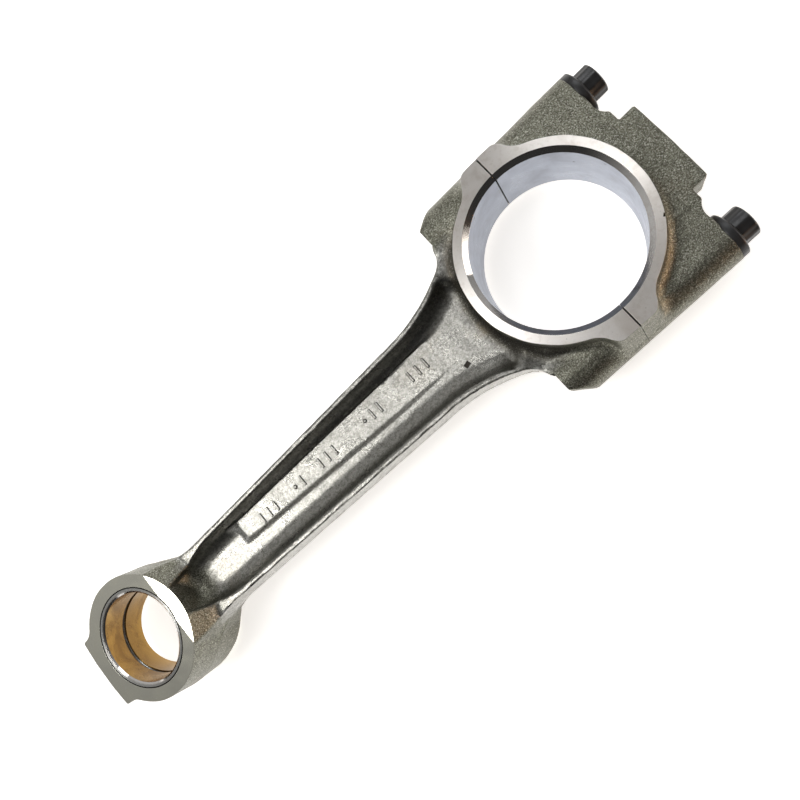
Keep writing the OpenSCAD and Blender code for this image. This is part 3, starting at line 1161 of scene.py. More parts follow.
@dataclass(frozen=True)
class BronzeFinish:
    """Fine-bored bearing bronze with faint rings and warm clouds, darkened by painted shade deeper in the
    bore.

    Attributes:
        name: Name of the material.
        colour: Colour of the bronze.
        dark: Colour of its darker clouds, and of the painted shade deeper in the bore.
        dots: Colour of its small dark specks.
    """

    name: str = "bearing_bronze"
    colour: Colour = (0.42, 0.25, 0.068)
    dark: Colour = (0.17, 0.09, 0.03)
    dots: Colour = (0.12, 0.07, 0.03)

    def build(self) -> Finish:
        """Makes the material.

        Returns:
            The material.
        """
        n = Nodes(self.name)
        rings = n.noise(1.0, 3, 0.6, n.scaled((30, 30, 3500)))
        along = n.add("ShaderNodeCombineXYZ", {"Z": 1.0}).outputs[0]
        n.link(along, n.shader.inputs["Tangent"])
        n.shader.inputs["Anisotropic"].default_value = 0.6
        cloud = n.noise(55.0, 5, 0.62, distort=0.5)
        fleck = n.noise(600.0, 3, 0.6)
        height = n.parts(n.place())[2]
        # Painted shade: the lining darkens towards the mid plane, deep in the bore.
        painted_bore_shade = n.band(n.math("ABSOLUTE", height), 0.0015, 0.022, 0.55, 0.0)
        colour = n.mix(painted_bore_shade, self.colour, self.dark)
        colour = n.mix(n.band(cloud, 0.44, 0.70, 0.0, 0.60), colour, self.dark)
        colour = n.mix(n.band(fleck, 0.68, 0.76, 0.0, 0.7), colour, self.dots)
        rough = n.band(cloud, 0.3, 0.7, 0.20, 0.30)
        normal = n.bump(rings, 0.01, 1.0)
        normal = n.bump(fleck, 0.02, 0.5, normal)
        return n.finish(colour, rough, normal)


@dataclass(frozen=True)
class BlackOxideFinish:
    """Oiled black oxide on steel, rubbed a little on its edges.

    Attributes:
        name: Name of the material.
        colour: Colour of the oxide.
        rubbed: Colour where it has rubbed thin.
    """

    name: str = "black_oxide"
    colour: Colour = (0.018, 0.018, 0.019)
    rubbed: Colour = (0.10, 0.10, 0.10)

    def build(self) -> Finish:
        """Makes the material.

        Returns:
            The material.
        """
        n = Nodes(self.name)
        cloud = n.noise(220.0, 5, 0.6)
        grain = n.noise(1800.0, 3, 0.6)
        wear = n.add("ShaderNodeNewGeometry").outputs["Pointiness"]
        rub = n.math("MULTIPLY", n.band(wear, 0.52, 0.60), n.band(cloud, 0.35, 0.65, 0.2, 1.0))
        colour = n.mix(rub, self.colour, self.rubbed)
        rough = n.band(cloud, 0.3, 0.7, 0.26, 0.42)
        normal = n.bump(grain, 0.02, 0.6)
        return n.finish(colour, rough, normal, metallic=0.35)


@dataclass
class Finishes:
    """Every finish of the rod, made once and shared by its pieces.

    Attributes:
        sizes: The rod's sizes.
        skin: The forged skin.
        ring: The big end's turned ring faces.
        bore: The bored walls.
        chamfer: The bright chamfers at the bores' mouths.
        joint: The joint faces.
        land: The small end's ground faces.
        seat: The spot faces at the screw bosses.
        milled: The scallops beside the balance pad.
        hole: The drilled holes.
        gap: The dark gaps and punched marks, and the painted shade round the tally strokes.
        bush_steel: The bushes' steel backs.
        bronze: The bushes' linings.
        oxide: The cap screws.
        dowel: The dowels.
    """

    sizes: RodSizes
    skin: Finish = field(init=False)
    ring: Finish = field(init=False)
    bore: Finish = field(init=False)
    chamfer: Finish = field(init=False)
    joint: Finish = field(init=False)
    land: Finish = field(init=False)
    seat: Finish = field(init=False)
    milled: Finish = field(init=False)
    hole: Finish = field(init=False)
    gap: Finish = field(init=False)
    bush_steel: Finish = field(init=False)
    bronze: Finish = field(init=False)
    oxide: Finish = field(init=False)
    dowel: Finish = field(init=False)

    def __post_init__(self) -> None:
        """Builds the materials."""
        self.skin = ForgedSkinFinish(self.sizes).build()
        self.ring = TurnedFinish(
            "turned_ring",
            colour=(0.88, 0.84, 0.80),
            tint=(0.66, 0.60, 0.54),
            rough_low=0.34,
            rough_high=0.44,
            depth_mm=0.03,
        ).build()
        self.bore = TurnedFinish(
            "bored_wall",
            colour=(0.45, 0.48, 0.55),
            tint=(0.36, 0.37, 0.41),
            rough_low=0.26,
            rough_high=0.38,
            pitch_mm=0.25,
            depth_mm=0.004,
            along_z=True,
        ).build()
        self.chamfer = TurnedFinish(
            "bore_chamfer",
            colour=(0.60, 0.585, 0.57),
            rough_low=0.07,
            rough_high=0.12,
            depth_mm=0.001,
            brushed=0.5,
        ).build()
        self.joint = GroundFinish("ground_joint", rough=0.26).build()
        self.land = GroundFinish(
            "ground_small_end", colour=(0.68, 0.67, 0.585), tint=(0.58, 0.57, 0.48), rough=0.20
        ).build()
        self.seat = GroundFinish("spot_face", colour=(0.66, 0.65, 0.62), rough=0.22).build()
        self.milled = GroundFinish(
            "milled_notch", colour=(0.36, 0.33, 0.28), tint=(0.26, 0.20, 0.14), rough=0.34
        ).build()
        self.hole = GroundFinish("drilled_hole", colour=(0.36, 0.35, 0.33), rough=0.36).build()
        self.gap = GroundFinish(
            "dark_gap", colour=(0.05, 0.045, 0.04), tint=(0.03, 0.025, 0.02), rough=0.5
        ).build()
        self.bush_steel = TurnedFinish(
            "bush_steel",
            centre_mm=self.sizes.centre_distance,
            colour=(0.55, 0.55, 0.53),
            rough_low=0.20,
            rough_high=0.32,
            pitch_mm=0.2,
            depth_mm=0.004,
        ).build()
        self.bronze = BronzeFinish().build()
        self.oxide = BlackOxideFinish().build()
        self.dowel = GroundFinish("dowel_steel", colour=(0.62, 0.62, 0.62), rough=0.2).build()


# ---------------- the forging's shape


@dataclass(frozen=True)
class Ripple:
    """The slight waviness of a hammered forging: a few long waves with fixed directions.

    Attributes:
        height: Height of the waves in millimetres.
        waves: How many waves there are.
        seed: Seed of their directions.
    """

    height: float = 0.07
    waves: int = 9
    seed: int = 7

    def at(self, x: Array, y: Array, z: Array) -> Array:
        """Height of the skin above its mean.

        Args:
            x: Places along X in millimetres.
            y: Places along Y.
            z: Places along Z.

        Returns:
            The heights in millimetres.
        """
        rng = np.random.default_rng(self.seed)
        total = np.zeros_like(np.asarray(x, float))
        for _ in range(self.waves):
            way = rng.normal(size=3)
            way *= 2 * math.pi / rng.uniform(7, 19) / np.linalg.norm(way)
            total += np.sin(way[0] * x + way[1] * y + way[2] * z + rng.uniform(0, 2 * math.pi))
        return total * self.height / math.sqrt(self.waves)


@dataclass(frozen=True)
class BigEndShape:
    """The forged shape that the rod and its cap share around the big end, in millimetres.

    Attributes:
        sizes: The rod's sizes.
        stock: Metal left for machining on the faces.
        draft: Sideways slope of the ring's wall.
        ring_fillet: Radius of the fillet at the foot of the ring.
        ear_half: Half length of the ears along X.
        ear_reach: Reach of the ears on the machined face.
        ear_corner: Radius of the ears' corners.
        ear_flare: Radius of the flare from the ears to the ring.
        ear_foot: Radius of the fillet where an ear meets the screw boss.
    """

    sizes: RodSizes
    stock: float = 1.2
    draft: float = 0.05
    ring_fillet: float = 6.5
    ear_half: float = 12.6
    ear_reach: float = 56.0
    ear_corner: float = 4.5
    ear_flare: float = 8.0
    ear_foot: float = 5.0

    def boss_crown(self, ay: Array) -> Array:
        """Height of the screw boss above the mid plane."""
        inner = self.sizes.boss_r**2 - (ay - self.sizes.screw_y) ** 2
        return np.sqrt(np.maximum(inner, 0))

    def boss(self, ay: Array, z: Array) -> Array:
        """Distance to the round screw boss, endless along X."""
        return np.hypot(ay - self.sizes.screw_y, z) - self.sizes.boss_r

    def ring(self, x: Array, y: Array, az: Array) -> Array:
        """Distance to the ring and its ears.

        Args:
            x: Places along X.
            y: Places along Y.
            az: Distance from the mid plane.

        Returns:
            The distances.
        """
        s = self.sizes
        ax, ay = np.abs(x), np.abs(y)
        drop = s.big_half - az
        wall = np.hypot(x, y) - (s.ring_r + self.draft * drop)
        lean = (s.side_y - 0.1 - self.ear_reach) / s.big_half
        side = (ay - (self.ear_reach + lean * drop)) / math.hypot(1, lean)
        above = np.clip(az - self.boss_crown(ay), 0, self.ear_foot)
        foot = self.ear_foot - np.sqrt(self.ear_foot**2 - (self.ear_foot - above) ** 2)
        end = ax - (self.ear_half + 0.06 * drop + foot * 0.9)
        ears = round_cross(side, end, self.ear_corner)
        ears = np.maximum(ears, s.ring_r * 0.7 - ay)
        flare = self.ear_flare * ease(az, 6, 16) + 0.01
        return np.maximum(round_union(wall, ears, flare), az - (s.big_half + self.stock))


@dataclass(frozen=True)
class RodShape:
    """The rod's forged shape: shoulders, beam with two channels, and the eye, in millimetres.

    Attributes:
        sizes: The rod's sizes.
        big_end: The shape that it shares with the cap.
        ripple: The waviness of its skin.
        shoulder_half: Half the thickness of the shoulders.
        inner_x: Where the shoulders and channels stop, inside the ring.
        lug_stock: Metal left for machining on the ends of the screw bosses.
        corner_from_x: Where the lugs' slanting corners start, on the outer side.
        corner_to: Where they end, along X and Y.
        cheek_run: Length along X of the flare from the beam to the eye.
        cheek_slope: Slope of that flare on the ribs' tops.
        mouth_x: A place along X where the channels narrow beside the eye.
        mouth_half: Half width of the channels there.
        mouth_slope: How fast they narrow.
        rib_t: Thickness of the ribs at their tops.
        draft: Sideways slope of the beam's outer sides.
        wall_draft: Sideways slope of the channels' walls.
        floor_fillet: Radius along the channels' floors.
        rib_edge: Radius of the ribs' edges.
        flash: Height of the trimmed flash line round the mid plane.
        eye_draft: Sideways slope of the eye's wall.
        ramp_slope: Slope of the ramps up to the eye.
        eye_stock: Metal left for machining on the eye's faces.
        tip_half_y: Half width of the tip lug.
        strip_depth: Depth of the strips sunk into the channels' floors.
        strip_fade: Where a strip starts to sink and where it reaches its depth, along X.
        strip_from_x: Where a strip starts along X.
        strip_to_x: Where it ends.
        strip_low_y: Its straight edge along Y.
        strip_high_y: Its other edge at its start.
        strip_taper: How far that edge closes in per millimetre of its length.
    """

    sizes: RodSizes
    big_end: BigEndShape
    ripple: Ripple
    shoulder_half: float = 10.8
    inner_x: float = 38.0
    lug_stock: float = 0.6
    corner_from_x: float = 33.0
    corner_to: tuple[float, float] = (41.6, 57.0)
    cheek_run: float = 33.5
    cheek_slope: float = 0.17
    mouth_x: float = 257.0
    mouth_half: float = 16.3
    mouth_slope: float = 0.6
    rib_t: float = 2.7
    draft: float = 0.075
    wall_draft: float = 0.13
    floor_fillet: float = 11.0
    rib_edge: float = 0.9
    flash: float = 0.45
    eye_draft: float = 0.042
    ramp_slope: float = 1.55
    eye_stock: float = 1.2
    tip_half_y: float = 21.3
    strip_depth: float = 1.3
    strip_fade: tuple[float, float] = (72.0, 130.0)
    strip_from_x: float = 70.0
    strip_to_x: float = 226.4
    strip_low_y: float = -13.8
    strip_high_y: float = 6.6
    strip_taper: float = 8.6 / 156

    def lug_corner(self, x: Array, ay: Array) -> Array:
        """Distance to the slanting plane across a lug's outer corner.

        Args:
            x: Places along X.
            ay: Distances from the centre plane.

        Returns:
            The distances.
        """
        start_x, start_y = self.corner_from_x, self.sizes.side_y
        end_x, end_y = self.corner_to
        run, drop = end_x - start_x, start_y - end_y
        return ((x - start_x) * drop + (ay - start_y) * run) / math.hypot(run, drop)

    def half_width(self, x: Array) -> Array:
        """Half width of the beam on its rib tops, with both flares.

        Args:
            x: Places along X.

        Returns:
            The half widths.
        """
        s = self.sizes
        back = np.clip(s.flare_start_x - x, 0, s.shoulder_flare_r * 0.9)
        big = s.shoulder_flare_r - np.sqrt(s.shoulder_flare_r**2 - back**2)
        slope = (s.beam_half_big - s.beam_half_small) / (s.eye_flare_x - s.flare_start_x)
        along = np.clip(x - s.flare_start_x, 0, s.eye_flare_x - s.flare_start_x)
        return s.beam_half_big - slope * along + big

    def eye_rise(self, x: Array) -> Array:
        """How much the cheeks widen towards the eye at the mid plane.

        Args:
            x: Places along X.

        Returns:
            The rises.
        """
        s = self.sizes
        over = np.clip(x - s.eye_flare_x, 0, self.cheek_run)
        return s.eye_flare_r - np.sqrt(s.eye_flare_r**2 - over**2)

    def outline(self, x: Array, ay: Array, az: Array) -> Array:
        """Distance to the sides of the shoulders, beam and cheeks.

        Args:
            x: Places along X.
            ay: Distances from the centre plane.
            az: Distances from the mid plane.

        Returns:
            The distances.
        """
        s = self.sizes
        width = self.half_width(x) + self.draft * np.maximum(s.beam_half - az, 0)
        low_rise = self.eye_rise(x)
        high_rise = np.maximum(x - s.eye_flare_x, 0) * self.cheek_slope
        share = np.clip(az / s.eye_half, 0, 1)
        width = width + low_rise + (np.minimum(high_rise, low_rise) - low_rise) * share
        ridge = self.flash * np.exp(-((az / 0.8) ** 2))
        back = np.clip(s.flare_start_x - x, 0, 60) / s.shoulder_flare_r
        over = np.clip(x - s.eye_flare_x, 0, self.cheek_run) / s.eye_flare_r
        slope = np.sqrt(1 + (back**2 / (1 - back**2)) + (over**2 / (1 - over**2)))
        beam = (ay - width - ridge) / slope
        beam = np.maximum(beam, self.inner_x - x)
        lug = np.maximum(x - (s.lug_x + self.lug_stock), ay - s.screw_y)
        return round_union(beam, lug, 8.0)

    def top(self, x: Array, y: Array) -> tuple[Array, Array]:
        """Height of the shoulders, ribs and ramps above the mid plane, and its slope.

        Args:
            x: Places along X.
            y: Places along Y.

        Returns:
            The heights, and the lengths of their slopes per millimetre.
        """
        s = self.sizes
        height = self.shoulder_half + (s.beam_half - self.shoulder_half) * ease(x, 42, 58)
        reach = np.hypot(x - s.centre_distance, y) - s.eye_r
        ramp = np.minimum(s.eye_half - 0.3 - self.ramp_slope * reach, s.eye_half + 1.0)
        steep = np.where(ramp > height, self.ramp_slope, 0.0)
        blend = 3.0 * ease(-ramp, -s.eye_half + 2, -s.eye_half + 8) + 0.05
        return soft_max(height, ramp, blend), np.sqrt(1 + steep**2)

    def channel(self, x: Array, y: Array, az: Array) -> Array:
        """Distance to the hollow of a channel.

        Args:
            x: Places along X.
            y: Places along Y.
            az: Distances from the mid plane.

        Returns:
            The distances.
        """
        s = self.sizes
        ay = np.abs(y)
        drop = np.maximum(s.beam_half - az, 0)
        inner = self.half_width(x) - self.rib_t - self.wall_draft * drop
        side = ay - inner
        narrow = self.mouth_half - (x - self.mouth_x) * self.mouth_slope - self.wall_draft * drop
        mouth = (ay - narrow) / math.hypot(1, self.mouth_slope)
        side = round_cross(side, mouth, 7.0)
        end = (ay - 24.0) * 0.8 - (x - 44.0) * 0.6 + self.wall_draft * drop
        plan = round_cross(side, np.maximum(end, self.inner_x - x), 4.0)
        return round_cross(plan, s.web_half - az, self.floor_fillet)

    def strip(self, x: Array, y: Array, z: Array) -> Array:
        """Distance to the sunk strip that a maker stamps, one in each channel floor.

        Args:
            x: Places along X.
            y: Places along Y.
            z: Places along Z.

        Returns:
            The distances.
        """
        s = self.sizes
        yy = y * np.sign(z)
        depth = self.strip_depth * ease(x, *self.strip_fade)
        rise = np.abs(z) - (s.web_half - depth)
        high_y = self.strip_high_y - (x - self.strip_fade[0]) * self.strip_taper
        right = (yy - high_y - 1.5 * rise) / math.hypot(1, 1.5)
        end = (x - self.strip_to_x - 1.8 * rise) / math.hypot(1, 1.8)
        side = np.maximum(right, self.strip_low_y - yy)
        return np.maximum(round_cross(side, np.maximum(end, self.strip_from_x - x), 0.8), -rise)

    def strip_floor(self, x: float) -> float:
        """Height of the strip's floor above the mid plane."""
        return self.sizes.web_half - self.strip_depth * float(ease(np.float64(x), *self.strip_fade))

    def eye(self, x: Array, y: Array, az: Array) -> Array:
        """Distance to the eye and its tip lug.

        Args:
            x: Places along X.
            y: Places along Y.
            az: Distances from the mid plane.

        Returns:
            The distances.
        """
        s = self.sizes
        ay = np.abs(y)
        drop = s.eye_half - az
        wall = np.hypot(x - s.centre_distance, y) - (s.eye_r + self.eye_draft * drop)
        bulge = 1.1 * (y / self.tip_half_y) ** 2
        end = x - (s.tip_x - 0.1 - bulge)
        side = ay - (self.tip_half_y + 0.02 * drop)
        lug = np.maximum(round_cross(side, end, 1.2), s.centre_distance - x)
        return np.maximum(round_union(wall, lug, 3.0), az - (s.eye_half + self.eye_stock))

    def at(self, x: Array, y: Array, z: Array) -> Array:
        """Distance to the whole forging of the rod.

        Args:
            x: Places along X.
            y: Places along Y.
            z: Places along Z.

        Returns:
            The distances.
        """
        s = self.sizes
        ay, az = np.abs(y), np.abs(z)
        height, slope = self.top(x, y)
        body = round_cross(self.outline(x, ay, az), (az - height) / slope, self.rib_edge)
        body = np.maximum(body, x - s.centre_distance)
        mouth_edge = self.rib_edge + 2.0 * ease(-x, -64, -54)
        body = round_cross(body, -self.channel(x, y, az), mouth_edge)
        body = np.maximum(body, -self.strip(x, y, z))
        corner = self.lug_corner(x, ay)
        lug_end = round_cross(x - (s.lug_x + self.lug_stock), corner, 1.0)
        boss = round_cross(self.big_end.boss(ay, z), lug_end, 0.8)
        body = round_union(body, boss, 4.0 * ease(s.side_y - 4 - ay, 0, 8) + 0.01)
        fillet = self.big_end.ring_fillet * ease(s.side_y - 4 - ay, 0, 6) + 0.01
        body = round_union(body, self.big_end.ring(x, y, az), fillet)
        eye_fillet = 5.0 * ease(18 - ay, 0, 8) * ease(20 - az, 0, 8) + 0.3
        body = round_union(body, self.eye(x, y, az), eye_fillet)
        body = np.maximum(body, az - (s.eye_half + self.eye_stock))
        body = np.maximum(body, -1.4 - x) - self.ripple.at(x, y, z)
        return np.maximum(body, np.maximum(ay - (s.side_y - 0.03), x - (s.tip_x - 0.05)))


@dataclass(frozen=True)
class CapShape:
    """The cap's forged shape: bosses, web, ring and balance pad, in millimetres.

    Attributes:
        sizes: The rod's sizes.
        big_end: The shape that it shares with the rod.
        ripple: The waviness of its skin.
        web_half: Half the thickness of the web.
        pad_half_y: Half the width of the balance pad.
        neck_x: Reach of the neck beside the pad, towards -X.
        neck_half_y: Half the width of the neck.
        pad_rise: How much thicker the pad is than the web.
        edge: Radius of its edges.
        seat_stock: Metal left for machining under the screws' seats.
    """

    sizes: RodSizes
    big_end: BigEndShape
    ripple: Ripple
    web_half: float = 12.55
    pad_half_y: float = 24.4
    neck_x: float = 61.0
    neck_half_y: float = 37.5
    pad_rise: float = 0.25
    edge: float = 0.8
    seat_stock: float = 0.8

    def at(self, x: Array, y: Array, z: Array) -> Array:
        """Distance to the whole forging of the cap.

        Args:
            x: Places along X.
            y: Places along Y.
            z: Places along Z.

        Returns:
            The distances.
        """
        s = self.sizes
        ay, az = np.abs(y), np.abs(z)
        web = np.maximum(ay - s.screw_y, -(s.seat_x + self.seat_stock) - x)
        neck = np.maximum(ay - self.neck_half_y, -self.neck_x - x)
        bulge = 0.5 * (y / self.pad_half_y) ** 2
        pad = round_cross(ay - self.pad_half_y, -(s.crown_x - 0.1) + bulge - x, 1.2)
        outline = np.minimum(np.minimum(web, neck), pad)
        height = self.web_half + self.pad_rise * ease(-ay, -31.0, -29.0)
        body = round_cross(outline, az - height, self.edge)
        body = np.maximum(body, x - 30)
        boss = np.maximum(self.big_end.boss(ay, z), -(s.seat_x + self.seat_stock) - x)
        body = np.minimum(body, boss)
        fillet = self.big_end.ring_fillet * ease(s.side_y - 4 - ay, 0, 6) + 0.01
        body = round_union(body, self.big_end.ring(x, y, az), fillet)
        body = np.maximum(body, x - 1.4) - self.ripple.at(x, y, z)
        return np.maximum(body, np.maximum(ay - (s.side_y - 0.03), -(s.crown_x - 0.02) - x))


# ---------------- sub-assemblies


@dataclass
class Forging:
    """What the rod and the cap share: the machined features of the big end.

    Attributes:
        sizes: The rod's sizes.
        finishes: The shared finishes.
        coarse: A factor on the net's spacing.
    """

    sizes: RodSizes
    finishes: Finishes
    coarse: float = 1.0

    def skin(self, name: str, shape: Field, xs: Array, half_z: float) -> Thing:
        """Makes the forged skin.

        Args:
            name: Name of the piece.
            shape: Its distance field.
            xs: Grid places along X.
            half_z: Half the height of the grid.

        Returns:
            The object.
        """
        fine = self.coarse
        ys = mirrored_line([(0.0, 1.0 * fine)], self.sizes.side_y + 2)
        zs = mirrored_line([(0.0, 0.65 * fine), (4.0, 0.9 * fine)], half_z)
        points, quads = SurfaceNet(shape, xs, ys, zs).build()
        LOG.info("%s: skin of %d quads", name, len(quads))
        piece = make_mesh(name, points, quads)
        piece.data.materials.append(self.finishes.skin)
        return piece

    def machine_big_end(self, piece: Thing, way: int) -> None:
        """Cuts the faces, joint face, bore, screw holes and dowel holes.

        Args:
            piece: The forging.
            way: +1 for the rod, which lies on the +X side of the joint face, and -1 for the cap.
        """
        s, f = self.sizes, self.finishes
        far, ring_end = 90.0, 62.0
        for face in Face:
            cut(piece, face_cutter(s.big_half, face, -far, ring_end, far), f.ring)
        low_x, high_x = sorted((s.joint_gap * way, -far * way))
        cut(piece, box_cutter((low_x, -far, -far), (high_x, far, far)), f.joint)
        reach = s.big_half + 1
        cut(piece, Turned(drum(-reach, reach, s.big_r)).build(), f.bore)
        for face in Face:
            inner = (s.big_half - s.big_chamfer) * face.value
            outer = (s.big_half + 1) * face.value
            narrow, wide = s.big_r - 0.01, s.big_r + s.big_chamfer + 1
            profile = [(inner, 0), (inner, narrow), (outer, wide), (outer, 0)]
            cut(piece, Turned(profile).build(), f.chamfer)
        self._break_joint_edges(piece)
        for side in Side:
            y = side.value * s.screw_y
            drill = drum(-s.seat_x - 2, s.lug_x + 3, s.screw_hole_r)
            cut(piece, Turned(drill, Axis.X, (0, y, 0), 64).build(), f.hole)
            depth = s.dowel_half + 0.4
            drill = drum(-depth, depth, s.dowel_r + (s.dowel_play if way > 0 else 0.0))
            origin = (0, y, side.value * s.dowel_z)
            cut(piece, Turned(drill, Axis.X, origin, 48).build(), f.hole)

    def _break_joint_edges(self, piece: Thing) -> None:
        """Breaks the edges of the joint face on the faces and in the bore.

        Args:
            piece: The forging.
        """
        s = self.sizes
        half = s.joint_break / math.sqrt(2)
        for side in Side:
            for face in Face:
                low, high = sorted((side.value * s.big_r, side.value * (s.side_y + 1)))
                pivot = (0, 0, face.value * s.big_half)
                tool = box_cutter((-half, low, -half), (half, high, half), turned_by(45, "Y"), pivot)
                cut(piece, tool, self.finishes.gap)
            reach = s.big_half - 1
            pivot = (0, side.value * s.big_r, 0)
            tool = box_cutter((-half, -half, -reach), (half, half, reach), turned_by(45, "Z"), pivot)
            cut(piece, tool, self.finishes.gap)


@dataclass
class RodForging(Forging):
    """The rod's forging, with its machined faces, bores and oilway.

    Attributes:
        tally: Start along X, number of strokes and whether a dot follows, for each group.
        tally_pitch: Distance between strokes.
        tally_height: Height of the strokes above the strip.
        tally_moat: Width and depth of the dark groove round each stroke, painted shade at the strokes'
            edges.
        stroke_half: Half the width of a stroke.
        stroke_y: Where a stroke starts and ends along Y.
        dot_r: Radius of a dot.
        dot_y: Place of a dot along Y.
        punch: Place of the punched inspection mark.
        punch_half: Half its length and half its width.
        punch_degrees: How far it is turned.
    """

    tally: tuple[tuple[float, int, bool], ...] = (
        (88.0, 3, False),
        (122.0, 2, True),
        (156.0, 3, False),
        (181.0, 1, True),
        (202.0, 3, False),
    )
    tally_pitch: float = 5.4
    tally_height: float = 0.75
    tally_moat: float = 0.3
    stroke_half: float = 0.45
    stroke_y: tuple[float, float] = (-7.8, -2.2)
    dot_r: float = 0.9
    dot_y: float = -5.0
    punch: tuple[float, float] = (72.4, 10.8)
    punch_half: tuple[float, float] = (1.7, 1.3)
    punch_degrees: float = 14.0

    def build(self) -> Thing:
        """Builds the piece.

        Returns:
            The finished object.
        """
        s = self.sizes
        shape = RodShape(s, BigEndShape(s), Ripple())
        k = self.coarse
        stops = [(-2.4, 1.0 * k), (62.0, 1.4 * k), (224.0, 0.8 * k), (232.0, 1.3 * k), (250.0, 1.0 * k)]
        piece = self.skin("rod_forging_skin", shape.at, grid_line(stops, s.tip_x + 2), s.eye_half + 2.4)
        self.machine_big_end(piece, 1)
        self._machine_lugs(piece)
        self._machine_small_end(piece)
        self._raise_tally(piece, shape)
        tidy_mesh(piece)
        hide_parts("rod_forging")
        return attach(piece, "rod")

    def _raise_tally(self, piece: Thing, shape: RodShape) -> None:
        """Raises plain tally strokes and dots on the strip, and punches one square inspection mark.

        Args:
            piece: The forging.
            shape: Its shape, which knows the strip's depth.
        """
        for start, strokes, dot in self.tally:
            for step in range(strokes):
                x = start + step * self.tally_pitch
                self._raise_stroke(piece, x, shape.strip_floor(x))
            if dot:
                x = start + strokes * self.tally_pitch
                self._raise_dot(piece, x, shape.strip_floor(x))
        (length, width), floor = self.punch_half, self.sizes.web_half
        low, high = (-length, -width, floor - 0.8), (length, width, floor + 3)
        square = box_cutter(low, high, turned_by(self.punch_degrees, "Z"), (*self.punch, 0))
        cut(piece, square, self.finishes.gap)

    def _raise_stroke(self, piece: Thing, x: float, floor: float) -> None:
        """Raises one stroke in its groove, which is coloured dark as painted shade.

        Args:
            piece: The forging.
            x: Place of the stroke along X.
            floor: Height of the strip's floor there.
        """
        half, moat, (near, far) = self.stroke_half, self.tally_moat, self.stroke_y
        high = floor + self.tally_height
        # Painted shade: the groove round the stroke takes the dark gap finish, standing in for the shade
        # at its edges.
        low_corner = (x - half - moat, near - moat, floor - moat)
        groove = box_cutter(low_corner, (x + half + moat, far + moat, high))
        cut(piece, groove, self.finishes.gap)
        mark = box_cutter((x - half, near, floor - 1.0), (x + half, far, high))
        cut(piece, mark, self.finishes.skin, Tool.RAISE)

    def _raise_dot(self, piece: Thing, x: float, floor: float) -> None:
        """Raises one dot in its groove, which is coloured dark as painted shade.

        Args:
            piece: The forging.
            x: Place of the dot along X.
            floor: Height of the strip's floor there.
        """
        radius, origin = self.dot_r, (x, self.dot_y, 0)
        low, high = floor - 1.0, floor + self.tally_height
        # Painted shade: the groove round the dot takes the dark gap finish, standing in for the shade at
        # its edge.
        groove = drum(floor - self.tally_moat, high, radius + self.tally_moat)
        cut(piece, Turned(groove, Axis.Z, origin, 16).build(), self.finishes.gap)
        profile = [(low, 0), (low, radius), (high - 0.15, 0.8), (high, 0.6), (high, 0)]
        cut(piece, Turned(profile, Axis.Z, origin, 16).build("mark"), self.finishes.skin, Tool.RAISE)

    def _machine_lugs(self, piece: Thing) -> None:
        """Spot-faces the ends of the two screw bosses, with a small chamfer at each hole.

        Args:
            piece: The forging.
        """
        s, f = self.sizes, self.finishes
        face_r, face_depth = 13.6, 5
        for side in Side:
            origin = (s.lug_x, side.value * s.screw_y, 0)
            cut(piece, Turned(drum(0, face_depth, face_r), Axis.X, origin, 96).build(), f.seat)
            mouth = [(-1.0, 0), (-1.0, s.screw_hole_r - 0.2), (0.4, s.screw_hole_r + 1.2), (0.4, 0)]
            cut(piece, Turned(mouth, Axis.X, origin, 64).build(), f.seat)

    def _machine_small_end(self, piece: Thing) -> None:
        """Cuts the lands, the wedge faces, the bush bore, its edge grooves and the oilway.

        Args:
            piece: The forging.
        """
        s, f = self.sizes, self.finishes
        back = s.centre_distance - s.eye_r - 16
        for face in Face:
            cut(piece, face_cutter(s.eye_half, face, back, s.tip_x + OVER, 60), f.land)
            cut(piece, wedge_cutter(s, face), f.land)
        reach = s.eye_half + 2
        origin = (s.centre_distance, 0, 0)
        cut(piece, Turned(drum(-reach, reach, s.bush_r), Axis.Z, origin).build(), f.bore)
        inner, low, high = s.bush_r - 0.3, -1.3, 0.25
        groove = [(inner, low), (s.bush_r + 0.1, -1.1), (s.bush_r + 0.45, high), (inner, high)]
        for face in Face:
            cut(piece, EdgeRing(s, groove, face).build(), f.gap)
        oilway = drum(s.big_r - 2, s.centre_distance - s.bush_r + 2, s.oilway_r)
        cut(piece, Turned(oilway, Axis.X, (0, 0, 0), 32).build(), f.hole)


